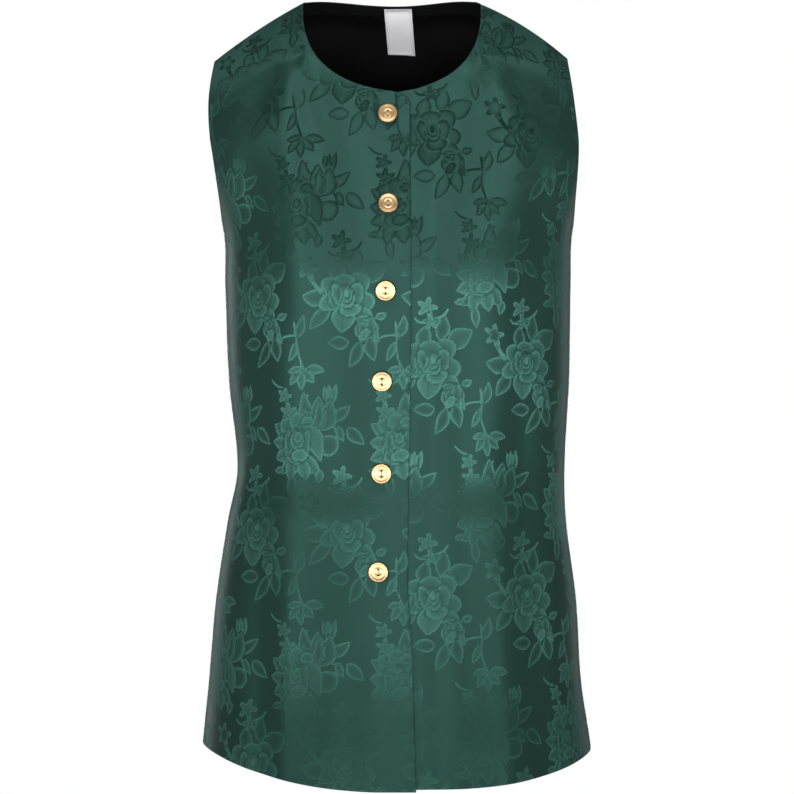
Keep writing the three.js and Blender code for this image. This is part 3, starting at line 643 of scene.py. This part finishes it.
def relief(tree, height, strength, *shaders):
    """A slight relief on the surface of each shader."""
    bump = node(tree, "ShaderNodeBump", {"Strength": strength, "Distance": 0.0002, "Height": height})
    for shader in shaders:
        tree.links.new(bump.outputs[0], shader.inputs["Normal"])


# Brocade: the ground's satin threads lie across the cloth, and shine in a fan up and down. The figure's
# threads run up the cloth, and shine in a fan from side to side.
GROUND = (0.014, 0.036, 0.031, 1)
SHADE = (0.010, 0.028, 0.024, 1)
FIGURE = (0.003, 0.009, 0.0075, 1)
SATIN_TINT = (0.34, 1.0, 0.82, 1)
GROUND_ROUGH, GROUND_SHINE, GROUND_TURN = 0.58, 0.5, 0.25
FIGURE_ROUGH, FIGURE_SHINE, FIGURE_TURN = 0.51, 0.8, 0.0
BLUR = 0.3  # of the figure's outline, in mm
GRAIN_SHARE = 0.25  # of the weave in the relief, beside the figure

brocade, tree, ground = cloth_material("brocade", GROUND_ROUGH, GROUND_SHINE)
figure_look = {"Roughness": FIGURE_ROUGH, "Specular IOR Level": FIGURE_SHINE}
figure_threads = node(tree, "ShaderNodeBsdfPrincipled", figure_look)
for threads, turn in ((ground, GROUND_TURN), (figure_threads, FIGURE_TURN)):
    threads.inputs["Anisotropic"].default_value = 0.9
    threads.inputs["Anisotropic Rotation"].default_value = turn
    threads.inputs["Specular Tint"].default_value = SATIN_TINT
    threads.inputs["IOR"].default_value = 1.6
tone = node(tree, "ShaderNodeAttribute", attribute_name="figure").outputs["Fac"]
edge = node(tree, "ShaderNodeAttribute", attribute_name="edge").outputs["Fac"]
within = node(tree, "ShaderNodeMapRange", {"Value": edge, "From Min": -BLUR, "From Max": BLUR}).outputs[0]
figure = node(tree, "ShaderNodeMath", {0: tone, 1: within}, operation="MULTIPLY").outputs[0]
weaving = node(tree, "ShaderNodeGroup", node_tree=weave)
streaked = colour_between(tree, weaving.outputs["Streaks"], SHADE, GROUND)
tree.links.new(streaked, ground.inputs["Base Color"])
figure_threads.inputs["Base Color"].default_value = FIGURE
raised = {0: weaving.outputs["Grain"], 1: GRAIN_SHARE, 2: figure}
height = node(tree, "ShaderNodeMath", raised, operation="MULTIPLY_ADD").outputs[0]
relief(tree, height, 0.2, ground, figure_threads)
woven = node(tree, "ShaderNodeMixShader", {0: figure, 1: ground.outputs[0], 2: figure_threads.outputs[0]})
tree.links.new(woven.outputs[0], tree.nodes["Material Output"].inputs["Surface"])


def plain_cloth(name, roughness, specular, shade, light, grain):
    """A cloth of one colour, with the weave's streaks and grain."""
    made, tree, shader = cloth_material(name, roughness, specular)
    weaving = node(tree, "ShaderNodeGroup", node_tree=weave)
    streaked = colour_between(tree, weaving.outputs["Streaks"], shade, light)
    tree.links.new(streaked, shader.inputs["Base Color"])
    relief(tree, weaving.outputs["Grain"], grain, shader)
    return made


BLACK_SHADE, BLACK = (0.0020, 0.0017, 0.0020, 1), (0.0045, 0.0038, 0.0043, 1)
lining = plain_cloth("lining", 0.6, 0.12, BLACK_SHADE, BLACK, 0.2)


def finish_cloth(piece, node_name, outside_material, inside_material=None):
    """Materials and record of a cloth. With no inside material its inner face is like its outer one."""
    piece.data.materials.append(outside_material)
    piece.data.materials.append(inside_material or outside_material)
    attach(piece, "root")
    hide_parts(node_name)


finish_cloth(front_right, "front_right", brocade, lining)

# Left front: the half on the wearer's left. It is cut like the right one, and its edge lies under the lap,
# so there it stays one cloth further in.
UNDER_LAP = 0.031
TUCK_START, TUCK_END = 0.003, 0.026  # past the top front's edge, where it comes back out

left_points, left_angle, left_height = front_grid(1, lambda z: np.full(np.shape(z), UNDER_LAP))
left_normals = square_at_seams(grid_normals(left_points, 1), on_front_seam)
left_x, left_z = left_points[..., 0], left_points[..., 2]
past_edge = left_x - at(TOP_LAP, "across", left_z)
tucked = (FRONT_CLOTH + LOOSE_GAP) * (1 - smooth(past_edge, TUCK_START, TUCK_END))
left_points = left_points - left_normals * tucked[..., None]
left_cloth = flat_coordinates(-1, 1, left_angle, left_height)
LEFT_ROSE = (0.0358, -0.3628)  # likewise on this front
front_left = cloth_shell("left_front", left_points, left_normals, FRONT_CLOTH, False, left_cloth,
                         flower_figure(left_cloth, LEFT_ROSE))
finish_cloth(front_left, "front_left", brocade, lining)

# Back: one wide piece of the same brocade, joined to the fronts at the side and shoulder seams.
# The photograph doesn't show it, so it is plain, with the soft folds of a loose back.
BACK_CLOTH = 0.0012
BACK_NECK_RISE = 0.0028  # of the neck's middle over the origin
BACK_NECK_SWELL = 0.0027  # of the neck between the middle and the shoulder seams
BACK_FOLDS = columns("top_x top_z end_x end_z width depth", [
    (-0.128, -0.190, -0.118, -0.800, 0.018, 0.0050),
    (0.132, -0.190, 0.120, -0.800, 0.018, 0.0050),
    (-0.034, -0.360, -0.062, -0.800, 0.024, 0.0036),
    (0.030, -0.350, 0.050, -0.800, 0.024, 0.0036),
    (-0.096, -0.060, -0.070, -0.250, 0.017, 0.0024),
    (0.098, -0.060, 0.074, -0.250, 0.017, 0.0024),
])
BACK_CREASES = columns("top_x top_z end_x end_z width depth", [
    (-0.150, -0.170, -0.100, -0.290, 0.013, 0.0014),
    (0.156, -0.170, 0.110, -0.280, 0.013, 0.0013),
    (-0.086, -0.420, -0.096, -0.800, 0.015, -0.0012),
    (0.090, -0.440, 0.090, -0.800, 0.014, -0.0014),
    (0.002, -0.480, -0.006, -0.800, 0.018, -0.0010),
    (-0.160, -0.430, -0.100, -0.500, 0.015, 0.0014),
    (0.164, -0.430, 0.104, -0.505, 0.014, 0.0012),
])
BACK_STEPS, BACK_LOWER_STEPS, BACK_UPPER_STEPS = 276, 210, 100
SHOULDER_SHARE = 0.2333  # the share of the back's columns on each shoulder seam
BACK_SPREAD = 0.7  # under 1, the columns keep the lower back's even spacing further up


def back_grid():
    """The back as a fine grid: rows from hem to neck and shoulders, columns from -X to +X."""
    across_shares = fine_shares(BACK_STEPS, "start end")
    centred = 2 * across_shares - 1
    from_side = np.minimum(across_shares, 1 - across_shares)
    on_shoulder = from_side <= SHOULDER_SHARE
    neck_round = np.clip((from_side - SHOULDER_SHARE) / (0.5 - SHOULDER_SHARE), 0, 1)
    side = np.where(centred < 0, -1, 1)
    neck, tip, rise = (of_side(SHOULDERS, side, name) for name in ("neck", "tip", "rise"))
    along_seam = mix(tip, neck, from_side / SHOULDER_SHARE)
    along_neck = neck * np.clip(np.cos(neck_round * math.pi / 2), 0, 1) ** NECK_BUNCH
    top_x = np.where(on_shoulder, along_seam, along_neck)
    out = np.clip((top_x / neck) ** 2, 0, 1)
    neck_top = rise * out**2 + BACK_NECK_RISE * np.sqrt(1 - out) + 4 * BACK_NECK_SWELL * out * (1 - out)
    top_z = np.where(on_shoulder, shoulder_line(side, top_x), neck_top)

    side_angle = math.pi / 2 - SEAM_GAP / 2 / at(SECTIONS, "back", ARMPIT)
    t = fine_shares(BACK_LOWER_STEPS, "start")[:, None]
    low_angle = np.broadcast_to(np.abs(centred) * side_angle, (len(t), len(centred)))
    low_height = mix(of_side(HEMS, side, "side"), ARMPIT, t)
    low_height = low_height - of_side(HEMS, side, "back") * (1 - t) * np.cos(low_angle) ** 2

    left = 1 - smooth(np.linspace(0, 1, BACK_UPPER_STEPS + 1)[1:], 0, 1)[:, None]
    height = mix(top_z, ARMPIT, left)
    edge_height = mix(shoulder_line(side, tip), ARMPIT, left)
    edge_angle = angle_at(armhole_across(side, edge_height), edge_height)
    angle = mix(angle_at(top_x, top_z), np.abs(centred) * edge_angle, left**BACK_SPREAD)
    angle[:, [0, -1]] = edge_angle[:, [0, -1]]

    angle, height = np.concatenate([low_angle, angle]), np.concatenate([low_height, height])
    points = form_point(1, side, angle, height, BACK_CREASES)
    points[-1, on_shoulder, 1] += SEAM_GAP / 2
    on_seam = np.zeros(height.shape, bool)
    on_seam[: BACK_LOWER_STEPS + 1 + len(CLOSE_SHARES), [0, -1]] = True
    on_seam[-1, on_shoulder] = True
    normals = square_at_seams(grid_normals(points, -1), on_seam)
    return points, normals, flat_coordinates(1, side, angle, height)


back_points, back_normals, back_cloth = back_grid()
BACK_ROSE = (0.012, -0.250)
back = cloth_shell("back_panel", back_points, back_normals, BACK_CLOTH, True, back_cloth,
                   flower_figure(back_cloth, BACK_ROSE))
finish_cloth(back, "back", brocade, lining)

# Back lining: black satin, cut a little smaller than the back and caught to it round the neck and armholes.
# It is what shows inside the neck.
LINING_CLOTH = 0.0008
LINING_LAY = BACK_CLOTH + LOOSE_GAP
LINING_INSET = COARSE * 3  # rows and columns of the back that the lining stays inside its hem and sides
LINING_TOP_INSET = 6  # and its neck and shoulders
LINING_STEP = 2  # it has every second one of them


def lining_part(grid):
    """The lining's share of a grid of the back, cut to a size that the coarse inner grid divides."""
    part = grid[LINING_INSET:-LINING_TOP_INSET:LINING_STEP, LINING_INSET:-LINING_INSET:LINING_STEP]
    rows, cols = ((n - 1) // COARSE * COARSE + 1 for n in part.shape[:2])
    return part[:rows, :cols]


lining_points = lining_part(back_points - back_normals * LINING_LAY)
lining_normals, lining_flat = lining_part(back_normals), lining_part(back_cloth)
back_lining = cloth_shell("back_lining_cloth", lining_points, lining_normals, LINING_CLOTH, True,
                          lining_flat)
finish_cloth(back_lining, "back_lining", lining)

# Care label: a white satin ribbon folded double, sewn into the back neck seam by its upper end.
# It is blank, and hangs free over the lining with its lower end curled a little to the front.
LABEL_WIDTH, LABEL_LENGTH = 0.0285, 0.0428
LABEL_CENTRE, LABEL_LEAN, LABEL_CURL = 0.003, 0.004, 0.0025
LABEL_CLOTH, LABEL_DROP, LABEL_SLANT = 0.0007, 0.0002, 0.0018
LABEL_WAVE, WAVE_ACROSS, WAVE_DOWN = 0.0006, 5, 4  # its height, and the radians over the width and length
LABEL_COLUMNS, LABEL_ROWS = 25, 41
WHITE_SHADE, WHITE = (0.90, 0.89, 0.92, 1), (0.97, 0.96, 0.99, 1)

across, down = np.meshgrid(np.linspace(-0.5, 0.5, LABEL_COLUMNS), 1 - np.linspace(0, 1, LABEL_ROWS))
label_x = LABEL_CENTRE + LABEL_LEAN * down + LABEL_WIDTH * across
label_z = BACK_NECK_RISE - LABEL_DROP - (LABEL_LENGTH + LABEL_SLANT * across) * down
label_side = np.where(label_x < 0, -1.0, 1.0)
label_points = form_point(1, label_side, np.abs(angle_at(label_x, label_z)), label_z)
label_normals = grid_normals(label_points, -1)
wavy = LABEL_WAVE * np.sin(across * WAVE_ACROSS + down * WAVE_DOWN) * down
lies = LINING_LAY + LINING_CLOTH + LOOSE_GAP + LABEL_CURL * down**2 + wavy
label_points = label_points - label_normals * lies[..., None]
label_cloth = np.stack([across * LABEL_WIDTH, -down * LABEL_LENGTH], axis=-1)
care_label = cloth_shell("care_label_ribbon", label_points, label_normals, LABEL_CLOTH, True, label_cloth)

ribbon = plain_cloth("label_ribbon", 0.42, 0.4, WHITE_SHADE, WHITE, 0.25)
finish_cloth(care_label, "care_label", ribbon)

# Buttons: six gilt metal discs with a rolled rim, a dished face and a raised ring round two holes,
# one above the other. Each is sewn on with a few turns of gold-coloured thread.
BUTTONS = [
    # height, distance across
    (-0.120, -0.007),
    (-0.208, -0.0065),
    (-0.292, -0.009),
    (-0.379, -0.0125),
    (-0.468, -0.013),
    (-0.563, -0.016),
]
BUTTON_RADIUS = 0.010
HOLE_RADIUS, HOLE_SPACING = 0.0011, 0.0050
HOLE_SEGMENTS, DRILL_LENGTH = 24, 0.012
BUTTON_PROFILE_MM = [
    # distance from the axis, height; from the middle of the underside round to the middle of the face
    (0.0, 0.0), (8.3, 0.0), (9.4, 0.25), (9.85, 0.7), (10.0, 1.3), (9.95, 1.9), (9.75, 2.35), (9.4, 2.65),
    (9.0, 2.8), (8.5, 2.8), (8.0, 2.68), (7.4, 2.5), (6.4, 2.3), (5.2, 2.16), (4.8, 2.2), (4.5, 2.34),
    (4.2, 2.4), (3.9, 2.34), (3.6, 2.14), (3.3, 2.04), (0.0, 1.96)]
BUTTON_SEGMENTS = 96
SEAT_REACH, SEAT_STEPS = 0.006, 12
# Painted shade: the gold darkens from the first radius to the second, out to the rim, where shade and dark
# reflections fall.
RIM_PAINTED_SHADE_FROM, RIM_PAINTED_SHADE_AT = 0.0085, 0.0097
HOLE_PAINTED_SHADE = 1.05  # how far out from a hole's middle shade is painted, as a share of its radius
# The third gold is the near-black of the painted shade at the rim and round the holes.
GOLD_DULL, GOLD, GOLD_IN_PAINTED_SHADE = (0.62, 0.38, 0.16, 1), (0.80, 0.58, 0.33, 1), (0.10, 0.055, 0.02, 1)
GOLD_SMOOTH, GOLD_ROUGH = 0.36, 0.46


def button_seat(x, z):
    """The point of the lap's surface at x and z."""
    return form_point(-1, 1.0 if x > 0 else -1.0, np.abs(angle_at(np.array([x]), z)), np.array([z]))[0]


def button_place(height, across):
    """Where a button sits: flat on the lap, just clear of the cloth under its rim."""
    along = button_seat(across + SEAT_REACH, height) - button_seat(across - SEAT_REACH, height)
    up = button_seat(across, height + SEAT_REACH) - button_seat(across, height - SEAT_REACH)
    normal = np.cross(along, up)
    normal /= np.linalg.norm(normal)
    up /= np.linalg.norm(up)
    centre = button_seat(across, height)
    lift = LOOSE_GAP
    for turn in np.linspace(0, 2 * math.pi, SEAT_STEPS, endpoint=False):
        rim = button_seat(across + BUTTON_RADIUS * math.cos(turn), height + BUTTON_RADIUS * math.sin(turn))
        lift = max(lift, LOOSE_GAP + float((rim - centre) @ normal))
    turned = np.stack([np.cross(up, normal), up, normal], axis=1)
    place = Matrix([[*row] for row in turned]).to_4x4()
    place.translation = Vector(centre + normal * lift)
    return place


def ring_quads(index):
    """Quads between rings of points, from a grid of the points' numbers with one row for each ring."""
    after = np.roll(index, -1, axis=1)
    return np.stack([index[:-1], after[:-1], after[1:], index[1:]], axis=-1).reshape(-1, 4)


def button_mesh():
    """The lathed disc with its two holes cut through."""
    profile = np.array(BUTTON_PROFILE_MM) / 1000
    turn = np.linspace(0, 2 * math.pi, BUTTON_SEGMENTS, endpoint=False)
    ring = profile[1:-1]
    heights = np.broadcast_to(ring[:, 1:2], (len(ring), len(turn)))
    rings = np.stack([ring[:, None, 0] * np.cos(turn), ring[:, None, 0] * np.sin(turn), heights], axis=-1)
    points = np.concatenate([rings.reshape(-1, 3), [[0, 0, profile[0, 1]], [0, 0, profile[-1, 1]]]])
    index = np.arange(len(ring) * len(turn)).reshape(len(ring), len(turn))
    low, high = len(points) - 2, len(points) - 1
    caps = np.concatenate([
        np.stack([np.full(len(turn), low), np.roll(index[0], -1), index[0]], axis=-1),
        np.stack([np.full(len(turn), high), index[-1], np.roll(index[-1], -1)], axis=-1)])
    disc = new_mesh("button_blank", points, [ring_quads(index), caps], (0, 0))
    for way in (-1, 1):
        centre = (0, way * HOLE_SPACING / 2, 0)
        bpy.ops.mesh.primitive_cylinder_add(
            vertices=HOLE_SEGMENTS, radius=HOLE_RADIUS, depth=DRILL_LENGTH, location=centre)
        drill = bpy.context.object
        cut = disc.modifiers.new("hole", "BOOLEAN")
        cut.operation, cut.object, cut.solver = "DIFFERENCE", drill, "EXACT"
        bpy.context.view_layer.objects.active = disc
        bpy.ops.object.modifier_apply(modifier=cut.name)
        bpy.data.objects.remove(drill)
    mesh = disc.data
    bpy.data.objects.remove(disc)
    spots = np.empty(len(mesh.vertices) * 3, np.float32)
    mesh.vertices.foreach_get("co", spots)
    spots = spots.reshape(-1, 3)
    # Painted shade, kept as an attribute: darker at the rim and round the holes' edges.
    rim_shade = smooth(np.hypot(spots[:, 0], spots[:, 1]), RIM_PAINTED_SHADE_FROM, RIM_PAINTED_SHADE_AT)
    from_hole = np.hypot(spots[:, 0], np.abs(spots[:, 1]) - HOLE_SPACING / 2)
    give_values(mesh, "painted_shade", np.maximum(rim_shade, from_hole < HOLE_RADIUS * HOLE_PAINTED_SHADE))
    return mesh


gilt = bpy.data.materials.new("gilt")
gilt.use_nodes = True
tree = gilt.node_tree
shader = tree.nodes["Principled BSDF"]
shader.inputs["Metallic"].default_value = 1.0
on_button = node(tree, "ShaderNodeTexCoord").outputs["Object"]
clouds = {"Vector": on_button, "Scale": 260.0, "Detail": 2.0}
tarnish = node(tree, "ShaderNodeTexNoise", clouds).outputs["Fac"]
gold = colour_between(tree, tarnish, GOLD_DULL, GOLD)
# The painted shade turns the gold near black at the rim and round the holes.
painted_shade = node(tree, "ShaderNodeAttribute", attribute_name="painted_shade").outputs["Fac"]
tree.links.new(colour_between(tree, painted_shade, gold, GOLD_IN_PAINTED_SHADE), shader.inputs["Base Color"])
roughness = node(tree, "ShaderNodeMapRange", {"Value": tarnish, "To Min": GOLD_SMOOTH, "To Max": GOLD_ROUGH})
tree.links.new(roughness.outputs[0], shader.inputs["Roughness"])
hammered = node(tree, "ShaderNodeBump", {"Strength": 0.06, "Distance": 0.0003, "Height": tarnish})
tree.links.new(hammered.outputs[0], shader.inputs["Normal"])

# Sewing thread: gold-coloured thread that holds each button on. Two strands of it show on the button's face,
# and dip into the two holes.
THREAD_SHADE, THREAD = (0.30, 0.20, 0.08, 1), (0.72, 0.58, 0.34, 1)
THREAD_RADIUS, THREAD_SIDES, THREAD_STEPS = 0.00024, 8, 14
STRAND_SPACING = 0.0006
STRAND_TOP, STRAND_DIP, STRAND_POWER = 0.0023, 0.0012, 6
STRAND_END = 0.05  # a strand's radius at its ends, as a share of the full one
ASKEW = [0.31, 0.95, 0.05]  # a direction that no strand runs along

sewing_thread, tree, shader = cloth_material("sewing_thread", 0.6, 0.3)
on_thread = node(tree, "ShaderNodeTexCoord").outputs["Object"]
ply = node(tree, "ShaderNodeTexNoise", {"Vector": on_thread, "Scale": 5000.0}).outputs["Fac"]
tree.links.new(colour_between(tree, ply, THREAD_SHADE, THREAD), shader.inputs["Base Color"])


def strand(path):
    """Points and quads of a round thread along a path, drawn in at its ends."""
    way = np.gradient(path, axis=0)
    way /= np.linalg.norm(way, axis=1, keepdims=True)
    aside = np.cross(way, ASKEW)
    aside /= np.linalg.norm(aside, axis=1, keepdims=True)
    other = np.cross(way, aside)
    turn = np.linspace(0, 2 * math.pi, THREAD_SIDES, endpoint=False)[None, :, None]
    size = THREAD_RADIUS * np.ones(len(path))
    size[[0, -1]] *= STRAND_END
    outwards = aside[:, None] * np.cos(turn) + other[:, None] * np.sin(turn)
    points = path[:, None] + size[:, None, None] * outwards
    index = np.arange(len(path) * THREAD_SIDES).reshape(len(path), THREAD_SIDES)
    return points.reshape(-1, 3), ring_quads(index)


def joined(name, parts):
    """One piece from several lists of points and quads."""
    starts = np.cumsum([0] + [len(points) for points, _ in parts[:-1]])
    quads = np.concatenate([q + start for (_, q), start in zip(parts, starts)])
    return new_mesh(name, np.concatenate([points for points, _ in parts]), [quads], (0,))


blank = button_mesh()
blank.materials.clear()
blank.materials.append(gilt)
for k, (height, across) in enumerate(BUTTONS, 1):
    place = button_place(height, across)
    made = blank.copy()
    made.transform(place)
    button = bpy.data.objects.new(f"gilt_button_{k}", made)
    bpy.context.scene.collection.objects.link(button)
    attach(button, "root")
    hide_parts(f"button_{k}")
    strands = []
    for shift in (-STRAND_SPACING / 2, STRAND_SPACING / 2):
        t = np.linspace(-1, 1, THREAD_STEPS + 1)
        over_face = STRAND_TOP - STRAND_DIP * t**STRAND_POWER
        path = np.stack([np.full_like(t, shift), t * HOLE_SPACING / 2, over_face], axis=-1)
        points, quads = strand(path)
        strands.append((points @ np.array(place.to_3x3()).T + np.array(place.translation), quads))
    stitches = joined(f"button_thread_{k}", strands)
    stitches.data.materials.append(sewing_thread)
    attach(stitches, "root")

# Studio: a plain pale floor well below the hem and a white surround. Three soft lights stand side by side
# in front, a little lower than the camera, one is high in front, and three light the back.
# The camera looks straight at the front, from halfway up it.
CAMERA_AWAY = 3.2
CAMERA_X, CAMERA_HEIGHT = 0.002, -0.394
SENSOR_WIDTH = 36.0  # in mm, like the lens
PICTURE_WIDTH = 0.794  # what the picture spans, as far away as the origin is
LENS = SENSOR_WIDTH * CAMERA_AWAY / PICTURE_WIDTH
FLOOR, FLOOR_SIZE = -1.35, 7

bpy.ops.mesh.primitive_plane_add(size=FLOOR_SIZE, location=(0, 0, FLOOR))
floor = bpy.context.object
floor.name = "floor"
pale = bpy.data.materials.new("floor")
pale.use_nodes = True
shader = pale.node_tree.nodes["Principled BSDF"]
shader.inputs["Base Color"].default_value = (0.82, 0.82, 0.82, 1)
shader.inputs["Roughness"].default_value = 0.9
shader.inputs["Emission Color"].default_value = (1, 1, 1, 1)
shader.inputs["Emission Strength"].default_value = 0.25
floor.data.materials.append(pale)


def soft_light(name, place, aim, size, watts, spread=180):
    """An oblong light. Its spread is in degrees."""
    light = bpy.data.lights.new(name, "AREA")
    light.shape, light.size, light.size_y, light.energy = "RECTANGLE", size[0], size[1], watts
    light.spread = math.radians(spread)
    lamp = bpy.data.objects.new(name, light)
    lamp.location = place
    lamp.rotation_euler = (Vector(aim) - Vector(place)).to_track_quat("-Z", "Y").to_euler()
    lamp.visible_camera = False
    bpy.context.scene.collection.objects.link(lamp)


soft_light("front", (0.0, -3.6, -0.80), (0, 0, -0.15), (2.0, 0.8), 5.5, 45)
soft_light("left_front", (-2.1, -2.6, -0.80), (0, 0, -0.10), (1.9, 0.8), 4.0, 34)
soft_light("right_front", (2.1, -2.6, -0.80), (0, 0, -0.10), (1.9, 0.8), 4.0, 34)
soft_light("upper_front", (0.0, -1.1, 2.3), (0, 0, -0.15), (2.6, 0.6), 34)
soft_light("back", (0.0, 3.6, -0.80), (0, 0, -0.15), (2.0, 0.8), 6, 45)
soft_light("left_back", (-2.2, 2.4, 0.0), (0, 0, -0.4), (1.2, 1.6), 12)
soft_light("right_back", (2.2, 2.4, 0.0), (0, 0, -0.4), (1.2, 1.6), 6)

world = bpy.data.worlds.new("studio")
bpy.context.scene.world = world
world.use_nodes = True
tree = world.node_tree
tree.nodes.clear()
seen = node(tree, "ShaderNodeLightPath").outputs["Is Camera Ray"]
surround = node(tree, "ShaderNodeBackground", {"Color": (1, 1, 1, 1), "Strength": 0.06})
backdrop = node(tree, "ShaderNodeBackground", {"Color": (1, 1, 1, 1), "Strength": 1.0})
shown = node(tree, "ShaderNodeMixShader", {0: seen, 1: surround.outputs[0], 2: backdrop.outputs[0]})
node(tree, "ShaderNodeOutputWorld", {"Surface": shown.outputs[0]})
bpy.context.scene.view_settings.view_transform = "Standard"

camera = bpy.data.objects.new("camera", bpy.data.cameras.new("camera"))
camera.location = (CAMERA_X, -CAMERA_AWAY, CAMERA_HEIGHT)
camera.rotation_euler = (math.pi / 2, 0, 0)
camera.data.lens = LENS
bpy.context.scene.collection.objects.link(camera)
bpy.context.scene.camera = camera
